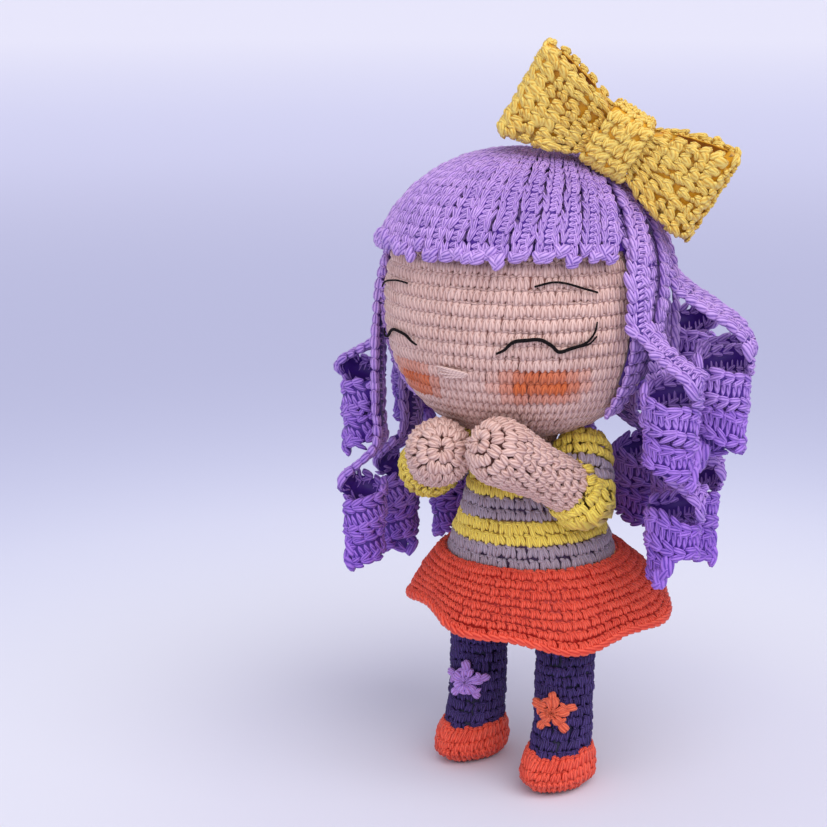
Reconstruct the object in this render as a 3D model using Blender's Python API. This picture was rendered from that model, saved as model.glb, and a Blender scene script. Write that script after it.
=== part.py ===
"""A crocheted doll with a bow and corkscrew hair, built as the separate pieces that a maker would
work and sew together. Metres, +Z up, and the doll looks along -Y. The origin is on the floor under
the middle of the doll's box. Left and right are the doll's own: its left is at +X."""
import math

import bmesh
import bpy
import numpy as np
from mathutils import Matrix, Vector

# Yarn and seams
FABRIC = 0.0015
SEAM = 0.0003
STRIP_WIDTH = 0.0064
STRIP_THICKNESS = 0.0022
THREAD_RADIUS = 0.00045
WIG_THICKNESS = 0.0012
WIG_GAP = 0.0005

# Where the doll's own axis stands, in front and to the right of the origin
BODY_FORWARD = 0.0067
BODY_ASIDE = 0.0024

# Head and neck
HEAD_RADIUS = 0.0334
HEAD_HALF_HEIGHT = 0.0327
HEAD_ROUNDNESS = 2.2
HEAD_FORWARD = 0.003
NECK_RADIUS = 0.009
NECK_SHOWN = 0.0038
NECK_TUCK = 0.0042
NECK_ROOT = 0.006

# Torso and skirt
TORSO_HEIGHT = 0.036
WAIST_RADIUS = 0.021
COLLAR_RADIUS = 0.0108
WAIST_BACK = 0.003
SKIRT_LENGTH = 0.0165
SKIRT_RADIUS = 0.032
SKIRT_FOLD = 0.0012
SKIRT_FOLDS = 7
SKIRT_LIFT = 0.005
SKIRT_LOW_DEG = 42
SKIRT_SWING = 0.0026

# Legs and shoes
LEG_HEIGHT = 0.048
LEG_RADIUS = 0.0073
LEG_SPREAD = 0.013
STRIDE = 0.0015
LEG_FORWARD = 0.001
# How far each foot stands outwards and forward from under its hip
FOOT_STEP = {"left": (0, 0.0016), "right": (0.0026, -0.002)}
SHOE_HEIGHT = 0.0095
SHOE_HALF_WIDTH = 0.0088
SHOE_TOE = 0.0152
SHOE_HEEL = 0.0088
SHOE_FLOOR = 0.0042
PATCH_RADIUS = 0.0055
PATCH_THICKNESS = 0.001

# Arms
ARM_RADIUS = 0.0061
SHOULDER_ASIDE = 0.0168
SHOULDER_FORWARD = 0.003
SHOULDER_DROP = 0.0004
SWING_DEG = (-2, 4, 10)
UPPER_ARM = 0.0092
CUFF = 0.0045
FOREARM = 0.0355
WRIST_RADIUS = 0.0052
HAND_RADIUS = 0.0067
# The ways from the shoulder to the elbow and from the elbow to each hand: across, forward and up
UPPER_ARM_AIM = {"left": (0.25, 0.52, -0.82), "right": (0.60, 0.54, -0.60)}
HAND_AIM = {"left": (-0.31, 0.82, 0.48), "right": (-0.53, 0.78, 0.33)}

# Hair
CROWN_BACK = 0.013
CROWN_RING = 0.0042
FRINGE_COUNT = 15
FRINGE_SPAN_DEG = 126
FRINGE_RISE = 0.0138
LOCK_COUNT = 18
LOCK_SPAN_DEG = 209
CURL_RADIUS = 0.0064
CURL_PITCH = 0.009
CURL_POINTS = 8
CURL_DROP = 0.006
CURL_SIDE_DROP = 0.007
HIGH_CURL_TOP = 0.114
LOW_CURL_TOP = 0.0815
CURL_CLEARANCE = 0.0012
CURL_SPREAD = 0.003
HIGH_LEAVE_DEG = 14
LOW_LEAVE_DEG = -3
LAY_GAP = 0.00045

# Bow
BOW_HALF_LENGTH = 0.0262
BOW_END_HEIGHT = 0.0235
BOW_WAIST_HEIGHT = 0.0118
BOW_DEPTH = 0.0105
BOW_WALL = 0.0022
BAND_WAIST_DEPTH = 0.0052
KNOT_HALF_WIDTH = 0.0055
KNOT_HEIGHT = 0.0160
KNOT_DEPTH = 0.0108
BOW_AZIMUTH_DEG = 92
BOW_COLATITUDE_DEG = 32
BOW_TURN_DEG = 109

# Places on the face as azimuth and elevation from the head's centre, from the middle outwards
EYE_DEG = (
    (18.4, -11.6), (21.5, -10.0), (25.0, -6.8), (30.0, -6.0), (35.2, -5.8), (39.5, -8.0),
    (42.9, -10.8), (47.5, -9.7), (52.6, -8.4), (55.6, -6.4), (57.6, -3.3), (58.3, 0.0),
)
BROW_DEG = {
    "left": ((33.1, 14.5), (39.8, 16.0), (45.4, 15.5), (52.3, 13.4), (58.7, 11.4)),
    "right": ((24.5, 12.1), (30.0, 12.2), (35.4, 11.8), (47.1, 9.7), (55.0, 6.5)),
}
NOSE_DEG = ((-7.5, -21.3), (-4.5, -21.2), (-1.3, -21.0), (1.9, -20.8), (5.0, -20.7))

COLOURS = {
    "skin": (0.75, 0.47, 0.38),
    "lilac": (0.31, 0.16, 0.65),
    "deep_lilac": (0.14, 0.05, 0.42),
    "butter": (0.83, 0.66, 0.20),
    "shirt_yellow": (0.74, 0.57, 0.11),
    "coral": (0.78, 0.10, 0.05),
    "navy": (0.035, 0.03, 0.15),
    "violet_star": (0.46, 0.27, 0.78),
    "black_thread": (0.012, 0.010, 0.012),
    "pale_pink": (0.80, 0.56, 0.50),
    "filling": (0.85, 0.85, 0.83),
}

HIP_Z = LEG_HEIGHT
COLLAR_Z = HIP_Z + TORSO_HEIGHT
HEAD_Z = COLLAR_Z + NECK_SHOWN + HEAD_HALF_HEIGHT
HEAD_CENTRE = Vector((0, -HEAD_FORWARD, HEAD_Z))
LAY_HEIGHT = WIG_GAP + WIG_THICKNESS + LAY_GAP + STRIP_THICKNESS / 2


def clear_scene():
    for item in list(bpy.data.objects):
        bpy.data.objects.remove(item, do_unlink=True)


def yarn(name, roughness=0.85):
    material = bpy.data.materials.get(name) or bpy.data.materials.new(name)
    material.use_nodes = True
    shader = material.node_tree.nodes["Principled BSDF"]
    shader.inputs["Base Color"].default_value = (*COLOURS[name], 1)
    shader.inputs["Roughness"].default_value = roughness
    shader.inputs["Metallic"].default_value = 0
    return material


def joint_empty(name, place, parent):
    """An empty on a joint's axis. Its place is kept, so that its pieces can be drawn in the doll's frame."""
    empty = bpy.data.objects.new(name, None)
    bpy.context.collection.objects.link(empty)
    empty["place"] = tuple(place)
    empty.parent = parent
    empty.location = Vector(place) - (Vector(parent["place"]) if parent else Vector())
    return empty


def piece(name, bm, material, joint, smooth_deg=50):
    """Turn a bmesh, drawn in the doll's frame, into one named object that rides on a joint's empty."""
    bmesh.ops.recalc_face_normals(bm, faces=bm.faces)
    if bm.calc_volume(signed=True) < 0:
        bmesh.ops.reverse_faces(bm, faces=bm.faces)
    bmesh.ops.translate(bm, verts=bm.verts, vec=-Vector(joint["place"]))
    mesh = bpy.data.meshes.new(name)
    bm.to_mesh(mesh)
    bm.free()
    mesh.shade_smooth()
    mesh.set_sharp_from_angle(angle=math.radians(smooth_deg))
    mesh.materials.append(yarn(material))
    item = bpy.data.objects.new(name, mesh)
    bpy.context.collection.objects.link(item)
    item.parent = joint
    return item


def guide(name, bm, joint):
    """A shape that only cuts or joins another piece."""
    cutter = piece(name, bm, "filling", joint)
    cutter.hide_render = True
    cutter.display_type = "WIRE"
    return cutter


def skin_rings(rings):
    """A closed skin over a stack of rings. A ring of one point is a pole, and other ends are capped flat."""
    bm = bmesh.new()
    loops = [[bm.verts.new(point) for point in ring] for ring in rings]
    for low, high in zip(loops, loops[1:]):
        count = max(len(low), len(high))
        for this in range(count):
            following = (this + 1) % count
            corners = (
                low[this % len(low)],
                low[following % len(low)],
                high[following % len(high)],
                high[this % len(high)],
            )
            bm.faces.new(list(dict.fromkeys(corners)))
    for cap in (loops[0], loops[-1]):
        if len(cap) > 1:
            bm.faces.new(cap)
    return bm


def skin_loop(rings):
    """A closed skin over rings whose last joins the first, such as a tube's wall or a hoop."""
    bm = bmesh.new()
    loops = [[bm.verts.new(point) for point in ring] for ring in rings]
    for low, high in zip(loops, loops[1:] + loops[:1]):
        for this in range(len(low)):
            following = (this + 1) % len(low)
            bm.faces.new((low[this], low[following], high[following], high[this]))
    return bm


def oval_ring(centre, half_x, front, back, steps):
    """A level ring with its own half width, reach to the front (-Y) and reach to the back."""
    ring = []
    for step in range(steps):
        angle = math.tau * step / steps
        along = math.cos(angle)
        reach = front if along > 0 else back
        ring.append((centre[0] + half_x * math.sin(angle), centre[1] - reach * along, centre[2]))
    return ring


def smooth_step(share):
    share = min(max(share, 0.0), 1.0)
    return share * share * (3 - 2 * share)


def read_table(table, share):
    """Read a table of (share, value, value...) rows with straight lines between them."""
    columns = np.array(table).T
    return [float(np.interp(share, columns[0], column)) for column in columns[1:]]


# Head

def head_surface(direction, height):
    """The point over the head's skin in a direction from its centre, and the way out of the skin there."""
    level = math.hypot(direction[0], direction[1])
    power = HEAD_ROUNDNESS
    radial = abs(level / HEAD_RADIUS) ** power + abs(direction[2] / HEAD_HALF_HEIGHT) ** power
    point = Vector(direction) * radial ** (-1 / power)
    share = math.hypot(point[0], point[1]) / HEAD_RADIUS
    rise = abs(point[2]) / HEAD_HALF_HEIGHT
    out_level = share ** (power - 1) / HEAD_RADIUS
    out_up = math.copysign(rise ** (power - 1) / HEAD_HALF_HEIGHT, point[2])
    flat = Vector((direction[0], direction[1], 0)).normalized() if level > 0 else Vector()
    normal = (flat * out_level + Vector((0, 0, out_up))).normalized()
    return HEAD_CENTRE + point + normal * height, normal


def facing(azimuth_deg, elevation_deg):
    """A direction from the head's centre: azimuth 0 is straight ahead, and 90 is the doll's left."""
    azimuth, elevation = math.radians(azimuth_deg), math.radians(elevation_deg)
    level = math.cos(elevation)
    return Vector((math.sin(azimuth) * level, -math.cos(azimuth) * level, math.sin(elevation)))


def head_rings(shrink, steps, elevations_deg, hole_radius):
    """Level rings of the head's form, shrunk by a wall, from the top pole to a hole under the chin."""
    radius, half_height = HEAD_RADIUS - shrink, HEAD_HALF_HEIGHT - shrink
    rings = [[HEAD_CENTRE + Vector((0, 0, half_height))]]
    drop = half_height * (1 - (hole_radius / radius) ** HEAD_ROUNDNESS) ** (1 / HEAD_ROUNDNESS)
    for elevation_deg in elevations_deg:
        elevation = math.radians(elevation_deg)
        reach = radius * math.cos(elevation) ** (2 / HEAD_ROUNDNESS)
        rise = math.copysign(half_height * abs(math.sin(elevation)) ** (2 / HEAD_ROUNDNESS), elevation)
        if reach > hole_radius or elevation > 0:
            rings.append(oval_ring(HEAD_CENTRE + Vector((0, 0, rise)), reach, reach, reach, steps))
    rings.append(oval_ring(HEAD_CENTRE - Vector((0, 0, drop)), hole_radius, hole_radius, hole_radius, steps))
    return rings


def make_head(joint):
    steps = 32
    elevations_deg = (76, 62, 48, 34, 20, 7, -7, -20, -33, -46, -59)
    hole = NECK_RADIUS + 2 * SEAM
    outside = head_rings(0, steps, elevations_deg, hole)
    inside = head_rings(FABRIC, steps, elevations_deg[::2], hole)
    piece("head", skin_rings(outside + inside[::-1]), "skin", joint)
    neck_top = COLLAR_Z + NECK_SHOWN + NECK_TUCK
    filling = head_rings(FABRIC + 2 * SEAM, steps // 2, elevations_deg[::2], hole)
    nod_deg = 6
    floor_z = neck_top + NECK_RADIUS * math.sin(math.radians(nod_deg)) + SEAM
    kept = [ring for ring in filling if ring[0][2] > floor_z]
    widest = max(point[0] for point in kept[-1])
    floor_share = 0.8
    kept.append(oval_ring((0, -HEAD_FORWARD, floor_z), *[widest * floor_share] * 3, steps // 2))
    piece("head_stuffing", skin_rings(kept), "filling", joint)


def thread_on_face(name, places_deg, width_shares, material, joint):
    """Stitches along a line of places on the face, whose widths are shares of a thread's."""
    height = SEAM + THREAD_RADIUS
    centres, normals = zip(*[head_surface(facing(*place), height) for place in places_deg])
    widths = [THREAD_RADIUS * share for share in width_shares]
    piece(name, ribbon(centres, normals, widths, THREAD_RADIUS), material, joint)


def make_face(joint):
    for side, name in ((1, "left"), (-1, "right")):
        eye = [(side * azimuth, elevation) for azimuth, elevation in EYE_DEG]
        brow = [(side * azimuth, elevation) for azimuth, elevation in BROW_DEG[name]]
        thread_on_face("eye_" + name, eye, [1] * len(eye), "black_thread", joint)
        thread_on_face("brow_" + name, brow, [1] * len(brow), "black_thread", joint)
    thread_on_face("nose", NOSE_DEG, (1.2, 2.4, 2.8, 2.4, 1.2), "pale_pink", joint)


def make_neck(joint):
    steps = 24
    heights = (COLLAR_Z - NECK_ROOT, COLLAR_Z, COLLAR_Z + NECK_SHOWN + NECK_TUCK)
    rings = [oval_ring((0, -HEAD_FORWARD, z), *[NECK_RADIUS] * 3, steps) for z in heights]
    piece("neck", skin_rings(rings), "skin", joint)


# Torso and skirt

# Height share of the torso, then half width, front reach and back reach as shares of the waist radius
TORSO_SHARES = (
    (0.000, 0.72, 0.72, 0.72),
    (0.025, 0.88, 0.88, 0.88),
    (0.105, 0.97, 0.97, 0.97),
    (0.260, 1.000, 1.000, 1.000),
    (0.420, 0.905, 0.965, 0.965),
    (0.530, 0.795, 0.920, 0.920),
    (0.640, 0.710, 0.860, 0.860),
    (0.760, 0.630, 0.790, 0.790),
    (0.870, 0.565, 0.690, 0.690),
    (0.950, 0.520, 0.570, 0.570),
)


def torso_centre_y(height_share):
    waist_share = 0.26
    lean = smooth_step((height_share - waist_share) / (1 - waist_share))
    return WAIST_BACK * (1 - lean) - HEAD_FORWARD * lean


def torso_ring(height_share, shrink, steps, lift=0.0):
    half_x, front, back = (WAIST_RADIUS * value - shrink for value in read_table(TORSO_SHARES, height_share))
    centre = (0, torso_centre_y(height_share), HIP_Z + TORSO_HEIGHT * height_share + lift)
    return oval_ring(centre, half_x, front, back, steps)


def make_torso(joint):
    steps = 28
    shares = [row[0] for row in TORSO_SHARES]
    collar = NECK_RADIUS + SEAM
    base_y = torso_centre_y(0)
    outside = [[(0, base_y, HIP_Z)]] + [torso_ring(share, 0, steps) for share in shares]
    lip = oval_ring((0, -HEAD_FORWARD, COLLAR_Z), *[COLLAR_RADIUS] * 3, steps)
    lip_inside = oval_ring((0, -HEAD_FORWARD, COLLAR_Z - SEAM), *[collar] * 3, steps)
    under_lip = oval_ring((0, -HEAD_FORWARD, COLLAR_Z - FABRIC), *[collar] * 3, steps)
    open_share = 0.9
    inner_shares = [share for share in shares if share < open_share]
    inside = [torso_ring(share, FABRIC, steps, FABRIC) for share in inner_shares]
    inside_pole = [[(0, base_y, HIP_Z + FABRIC)]]
    rings = outside + [lip, lip_inside, under_lip] + inside[::-1] + inside_pole
    piece("torso", skin_rings(rings), "shirt_yellow", joint)
    root_share = (TORSO_HEIGHT - NECK_ROOT - SEAM - FABRIC) / TORSO_HEIGHT
    wall = FABRIC + 2 * SEAM
    low_shares = [share for share in inner_shares if share < root_share] + [root_share]
    filling = [torso_ring(share, wall, steps // 2, wall) for share in low_shares[:-1]]
    filling.append(torso_ring(root_share, wall, steps // 2, FABRIC))
    piece("torso_stuffing", skin_rings(filling), "filling", joint)


# Share of the skirt's length from the waist, then how far it has flared
FLARE_SHARES = ((0, 0), (0.18, 0.24), (0.40, 0.50), (0.70, 0.79), (1, 1))


def skirt_ring(length_share, inset, steps):
    """One level of the skirt: round and flat at the waist. Towards the hem its folds wave it, it
    rides up on two sides, and it swings over to one of them."""
    waist_share = 0.27
    top = WAIST_RADIUS + SEAM + FABRIC
    flare = read_table(FLARE_SHARES, length_share)[0]
    radius = top + (SKIRT_RADIUS - top) * flare
    drop = SKIRT_LENGTH * length_share
    centre = Vector((0, torso_centre_y(waist_share), HIP_Z + TORSO_HEIGHT * waist_share - drop))
    centre += facing(SKIRT_LOW_DEG + 90, 0) * SKIRT_SWING * length_share
    ring = []
    for step in range(steps):
        angle = math.tau * step / steps
        wave = SKIRT_FOLD * length_share ** 2 * math.cos(SKIRT_FOLDS * angle + 1)
        rise = SKIRT_LIFT * length_share * math.sin(angle - math.radians(SKIRT_LOW_DEG)) ** 2
        reach = radius + wave - inset
        ring.append(centre + Vector((reach * math.sin(angle), -reach * math.cos(angle), rise - wave / 2)))
    return ring


def make_skirt(joint):
    steps = 8 * SKIRT_FOLDS
    shares = [row[0] for row in FLARE_SHARES]
    outside = [skirt_ring(share, 0, steps) for share in shares]
    inside = [skirt_ring(share, FABRIC, steps) for share in shares]
    piece("skirt", skin_loop(outside + inside[::-1]), "coral", joint, smooth_deg=60)


# Legs and shoes

def hip_place(side):
    return side * LEG_SPREAD, -LEG_FORWARD - side * STRIDE, HIP_Z - SEAM - LEG_RADIUS


def leg_middle(side, name, z):
    """The middle of a leg at a height: under its hip at the top, and over its foot on the floor."""
    hip_x, hip_y, hip_z = hip_place(side)
    outwards, forward = FOOT_STEP[name]
    share = max(0, 1 - z / hip_z)
    return Vector((hip_x + side * outwards * share, hip_y - forward * share, z))


def leg_rings(side, name, radius, foot_z, steps):
    """A leg from its foot to its round top, whose dome is centred on the hip's axis."""
    dome_z = hip_place(side)[2]
    levels = (foot_z, (foot_z + dome_z) / 2)
    rings = [oval_ring(leg_middle(side, name, z), *[radius] * 3, steps) for z in levels]
    tilts_deg = (0, 28, 56)
    for tilt_deg in tilts_deg:
        tilt = math.radians(tilt_deg)
        reach = radius * math.cos(tilt)
        rings.append(oval_ring(leg_middle(side, name, dome_z + radius * math.sin(tilt)), *[reach] * 3, steps))
    rings.append([leg_middle(side, name, dome_z + radius)])
    return rings


def make_leg(name, side, joint):
    steps = 20
    sole = SHOE_FLOOR + SEAM
    outside = leg_rings(side, name, LEG_RADIUS, sole, steps)
    inside = leg_rings(side, name, LEG_RADIUS - FABRIC, sole, steps)
    piece("leg_" + name, skin_rings(outside[::-1] + inside), "navy", joint)
    filling = leg_rings(side, name, LEG_RADIUS - FABRIC - SEAM, sole, steps - 4)
    piece("leg_stuffing_" + name, skin_rings(filling), "filling", joint)


# Height share of the shoe, then half width, toe and heel as shares of their own full sizes
SHOE_SHARES = (
    (0.00, 0.70, 0.66, 0.70),
    (0.16, 0.92, 0.88, 0.92),
    (0.42, 1.00, 1.00, 1.00),
    (0.72, 0.97, 0.88, 0.97),
)


def make_shoe(name, side, joint):
    steps = 24
    socket = LEG_RADIUS + SEAM
    rim = socket + FABRIC / 2
    top, floor = leg_middle(side, name, SHOE_HEIGHT), leg_middle(side, name, SHOE_FLOOR)
    outside = []
    for height_share, width_share, toe_share, heel_share in SHOE_SHARES:
        centre = leg_middle(side, name, SHOE_HEIGHT * height_share)
        halves = (SHOE_HALF_WIDTH * width_share, SHOE_TOE * toe_share, SHOE_HEEL * heel_share)
        outside.append(oval_ring(centre, *halves, steps))
    outside.append(oval_ring(top, *[rim] * 3, steps))
    inside = [oval_ring(centre, *[socket] * 3, steps) for centre in (top, floor)]
    piece("shoe_" + name, skin_rings(outside + inside), "coral", joint)


def make_patch(name, side, height_share, material, joint):
    """A five-pointed star of a few stitches, wrapped round the front of the shin."""
    points, ring_count = 5, 2
    corners = 4 * points
    azimuth_deg = 8
    notch_share = 0.55
    layers = []
    for reach in (LEG_RADIUS + 2 * SEAM, LEG_RADIUS + 2 * SEAM + PATCH_THICKNESS):
        rings = []
        for ring_index in range(ring_count, -1, -1):
            ring = []
            for corner in range(corners):
                angle = math.tau * corner / corners
                swing = abs((corner % 4) / 2 - 1)
                radius = PATCH_RADIUS * (notch_share + (1 - notch_share) * swing) * ring_index / ring_count
                around = radius * math.sin(angle) / reach + math.radians(azimuth_deg)
                middle = leg_middle(side, name, LEG_HEIGHT * height_share + radius * math.cos(angle))
                ring.append(middle + reach * facing(math.degrees(around), 0))
            rings.append(ring if ring_index else ring[:1])
        layers.append(rings)
    inner, outer = layers
    piece("patch_" + name, skin_rings(inner[::-1] + outer), material, joint)


# Arms

def shoulder_axis():
    """The level line across the body that both arms swing about."""
    return -SHOULDER_FORWARD, COLLAR_Z - SHOULDER_DROP


def torso_guide(name, swing_deg, joint):
    """The torso, two seams larger, as the arm meets it when it has swung by an angle."""
    steps = 28
    shares = [row[0] for row in TORSO_SHARES]
    rings = [torso_ring(share, -2 * SEAM, steps) for share in shares]
    rings.append([(x, y, COLLAR_Z + SEAM) for x, y, z in rings[-1]])
    axis_y, axis_z = shoulder_axis()
    pivot = Vector((0, axis_y, axis_z))
    turn = Matrix.Rotation(math.radians(-swing_deg), 3, "X")
    rings = [[pivot + turn @ (Vector(point) - pivot) for point in ring] for ring in rings]
    return guide(name, skin_rings(rings), joint)


def limb(centres, radii, sides, round_start, round_end):
    """A stuffed tube through centres, with a radius at each and half-round ends where asked."""
    centres = [Vector(centre) for centre in centres]
    ways = [(after - before).normalized() for before, after in zip(centres, centres[1:])]
    ways = [ways[0]] + [(before + after).normalized() for before, after in zip(ways, ways[1:])] + [ways[-1]]
    side_way = Vector((1, 0, 0))
    rings = []

    def ring_at(centre, way, radius):
        across = (side_way - way * side_way.dot(way)).normalized()
        over = way.cross(across)
        angles = [math.tau * step / sides for step in range(sides)]
        return [centre + radius * (math.cos(angle) * across + math.sin(angle) * over) for angle in angles]

    def dome(centre, way, radius):
        tilts_deg = (30, 60)
        tilts = [math.radians(tilt_deg) for tilt_deg in tilts_deg]
        steps = [(centre + way * radius * math.sin(tilt), radius * math.cos(tilt)) for tilt in tilts]
        return [ring_at(step, way, reach) for step, reach in steps] + [[centre + way * radius]]

    if round_start:
        start = dome(centres[0], -ways[0], radii[0])
        rings += [[ring[0]] + ring[:0:-1] if len(ring) > 1 else ring for ring in start[::-1]]
    rings += [ring_at(centre, way, radius) for centre, way, radius in zip(centres, ways, radii)]
    if round_end:
        rings += dome(centres[-1], ways[-1], radii[-1])
    return skin_rings(rings)


def arm_frame(side, name):
    """The shoulder's cap, the elbow and the way that the forearm points."""
    axis_y, axis_z = shoulder_axis()
    shoulder = Vector((side * SHOULDER_ASIDE, axis_y, axis_z))
    across, forward, up = UPPER_ARM_AIM[name]
    elbow = shoulder + Vector((side * across, -forward, up)).normalized() * UPPER_ARM
    across, forward, up = HAND_AIM[name]
    return shoulder, elbow, Vector((side * across, -forward, up)).normalized()


def make_arm(name, side, joint):
    sides = 16
    slim = SEAM / 3
    shoulder, elbow, aim = arm_frame(side, name)
    upper = limb((shoulder, elbow), (ARM_RADIUS, ARM_RADIUS - SEAM), sides, True, True)
    sleeve = piece("sleeve_" + name, upper, "shirt_yellow", joint)
    cuff_end = elbow + aim * CUFF
    stub = WRIST_RADIUS + slim
    cuff = limb((elbow, cuff_end), (stub, stub), sides, False, False)
    steps = [("UNION", guide("guide_cuff_" + name, cuff, joint))]
    shares = (0, 0.35, 0.70, 1)
    radii = (WRIST_RADIUS, WRIST_RADIUS, (WRIST_RADIUS + HAND_RADIUS) / 2, HAND_RADIUS)
    reach = FOREARM - CUFF - HAND_RADIUS
    start = cuff_end + aim * SEAM
    centres = [start + aim * reach * share for share in shares]
    piece("forearm_" + name, limb(centres, radii, sides, False, True), "skin", joint)
    seat_centres = [cuff_end - aim * slim] + centres[1:]
    seat = limb(seat_centres, [radius + SEAM for radius in radii], sides, False, True)
    steps.append(("DIFFERENCE", guide("guide_forearm_" + name, seat, joint)))
    for swing_deg in SWING_DEG:
        steps.append(("DIFFERENCE", torso_guide(f"guide_torso_{name}_{swing_deg}", swing_deg, joint)))
    for operation, cutter in steps:
        modifier = sleeve.modifiers.new(cutter.name, "BOOLEAN")
        modifier.operation = operation
        modifier.solver = "EXACT"
        modifier.object = cutter


# Hair

def ribbon(centres, normals, half_widths, half_thickness, tip_share=0.7):
    """A flat strip with soft edges that follows its centres, facing along its normals."""
    edge_share = 0.62
    rings = []
    count = len(centres)
    for index in range(count):
        way = (centres[min(index + 1, count - 1)] - centres[max(index - 1, 0)]).normalized()
        out = (normals[index] - way * normals[index].dot(way)).normalized()
        across = way.cross(out)
        last = index in (0, count - 1)
        wide = half_widths[index] * (tip_share if last else 1)
        thick = half_thickness * (tip_share if last else 1)
        corners = ((1, 0), (edge_share, 1), (-edge_share, 1), (-1, 0), (-edge_share, -1), (edge_share, -1))
        rings.append([centres[index] + across * wide * a + out * thick * b for a, b in corners])
    return skin_rings(rings)


def crown():
    """The way from the head's centre to the middle of the hair's crown, a little behind the top."""
    return facing(180, 90 - math.degrees(CROWN_BACK / HEAD_RADIUS))


def lay_directions(end, step_deg=12):
    """Directions along the shortest line over the head, from the crown's ring to an end direction."""
    start = crown()
    whole = start.angle(end)
    first = CROWN_RING / HEAD_RADIUS
    steps = max(2, math.ceil(math.degrees(whole - first) / step_deg))
    angles = [first + (whole - first) * step / steps for step in range(steps + 1)]
    return [(start * math.sin(whole - angle) + end * math.sin(angle)) / math.sin(whole) for angle in angles]


def lay_strip(end, neighbour, step_deg=12):
    """Centres, normals and half widths of a strip over the head that leaves a seam to its neighbour."""
    turn = crown().cross(end).angle(crown().cross(neighbour))
    centres, normals, widths = [], [], []
    for direction in lay_directions(end, step_deg):
        point, normal = head_surface(direction, LAY_HEIGHT)
        centres.append(point)
        normals.append(normal)
        away = math.sin(crown().angle(direction))
        room = turn * away * (HEAD_RADIUS + LAY_HEIGHT) / 2 - SEAM
        widths.append(min(STRIP_WIDTH / 2, room))
    return centres, normals, widths


def fringe_directions():
    """Where each fringe strip ends on the forehead, from the doll's right to its left."""
    rise = math.degrees(math.asin(FRINGE_RISE / HEAD_RADIUS))
    spacing = FRINGE_SPAN_DEG / (FRINGE_COUNT - 1)
    azimuths = [-FRINGE_SPAN_DEG / 2 + spacing * index for index in range(FRINGE_COUNT)]
    return [facing(azimuth, rise) for azimuth in azimuths]


def lock_azimuths():
    spacing = LOCK_SPAN_DEG / (LOCK_COUNT - 1)
    return [180 - LOCK_SPAN_DEG / 2 + spacing * index for index in range(LOCK_COUNT)]


# Azimuth as a share of a turn, then how much of the spread the high curls stand off the head by there
SPREAD_SHARES = ((0.22, 0.0), (0.27, 1.0), (0.40, 1.0), (0.55, 0.0), (1.00, 0.0))

# Azimuth as a share of a turn, then the share of the side drop that all curls hang lower by there
SIDE_SHARES = ((0.0, 0.0), (0.5, 0.0), (0.6, 1.0), (1.0, 1.0))

# Azimuth as a share of a turn, then a curl's radius there, which shrinks further to its tip
RADIUS_SHARES = ((0.0, 1.0), (0.45, 1.0), (0.68, 0.8), (1.0, 0.8))
TIP_SHARE = 0.75

# Each lock from the doll's left round to its right: the share of the drop that its curl starts
# lower by, and the points that it curls through
LOCK_SHARES = (
    (0.9, 18), (0.5, 15), (0.2, 22), (0.0, 17), (0.6, 18), (0.9, 14), (0.0, 22), (0.3, 16), (0.8, 18),
    (0.7, 13), (0.3, 20), (0.1, 17), (0.7, 18), (0.0, 17), (0.1, 20), (0.0, 19), (0.9, 17), (0.2, 16),
)


def lock_directions():
    """Where each lock leaves the head: the high ones, every other one, sooner than the low ones."""
    leave_deg = (HIGH_LEAVE_DEG, LOW_LEAVE_DEG)
    return [facing(azimuth, leave_deg[index % 2]) for index, azimuth in enumerate(lock_azimuths())]


def all_strip_ends():
    """Every strip's end direction in order round the head, so that each knows its neighbours."""
    return fringe_directions() + lock_directions()


def nearest_turn(index):
    """The end direction of whichever neighbour leaves less room."""
    ends = all_strip_ends()
    here = crown().cross(ends[index])
    beside = (ends[index - 1], ends[(index + 1) % len(ends)])
    return min(beside, key=lambda end: here.angle(crown().cross(end)))


def make_wig_cap(joint):
    """The thin purple base of the hair: a cap down to the nape, cut away round the face."""
    steps = 32
    elevations = (78, 66, 54, 42, 30, 18, 6, -6, -17, -28)
    low, high = WIG_GAP, WIG_GAP + WIG_THICKNESS
    layers = []
    for height in (high, low):
        rings = [[head_surface(Vector((0, 0, 1)), height)[0]]]
        for elevation in elevations:
            azimuths = [360 * step / steps for step in range(steps)]
            rings.append([head_surface(facing(azimuth, elevation), height)[0] for azimuth in azimuths])
        layers.append(rings)
    outer, inner = layers
    cap = piece("wig_cap", skin_rings(outer + inner[::-1]), "deep_lilac", joint)
    half_face = math.radians(180 - LOCK_SPAN_DEG / 2)
    beyond = 2 * HEAD_RADIUS
    side = Vector((math.sin(half_face), -math.cos(half_face), 0)) * beyond
    front = Vector((beyond, -beyond, 0))
    mirror = Vector((-1, 1, 1))
    corners = (Vector(), side, front, front * mirror, side * mirror)
    hairline = Vector((0, 0, FRINGE_RISE + FABRIC))
    floor = Vector((0, 0, -beyond))
    rings = [[HEAD_CENTRE + level + corner for corner in corners] for level in (floor, hairline)]
    opening = cap.modifiers.new("face", "BOOLEAN")
    opening.operation = "DIFFERENCE"
    opening.solver = "EXACT"
    opening.object = guide("guide_face", skin_rings(rings), joint)


def make_fringe(joint):
    for index, end in enumerate(fringe_directions()):
        centres, normals, widths = lay_strip(end, nearest_turn(index))
        name = f"fringe_{index + 1:02d}"
        piece(name, ribbon(centres, normals, widths, STRIP_THICKNESS / 2), "lilac", joint)


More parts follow.
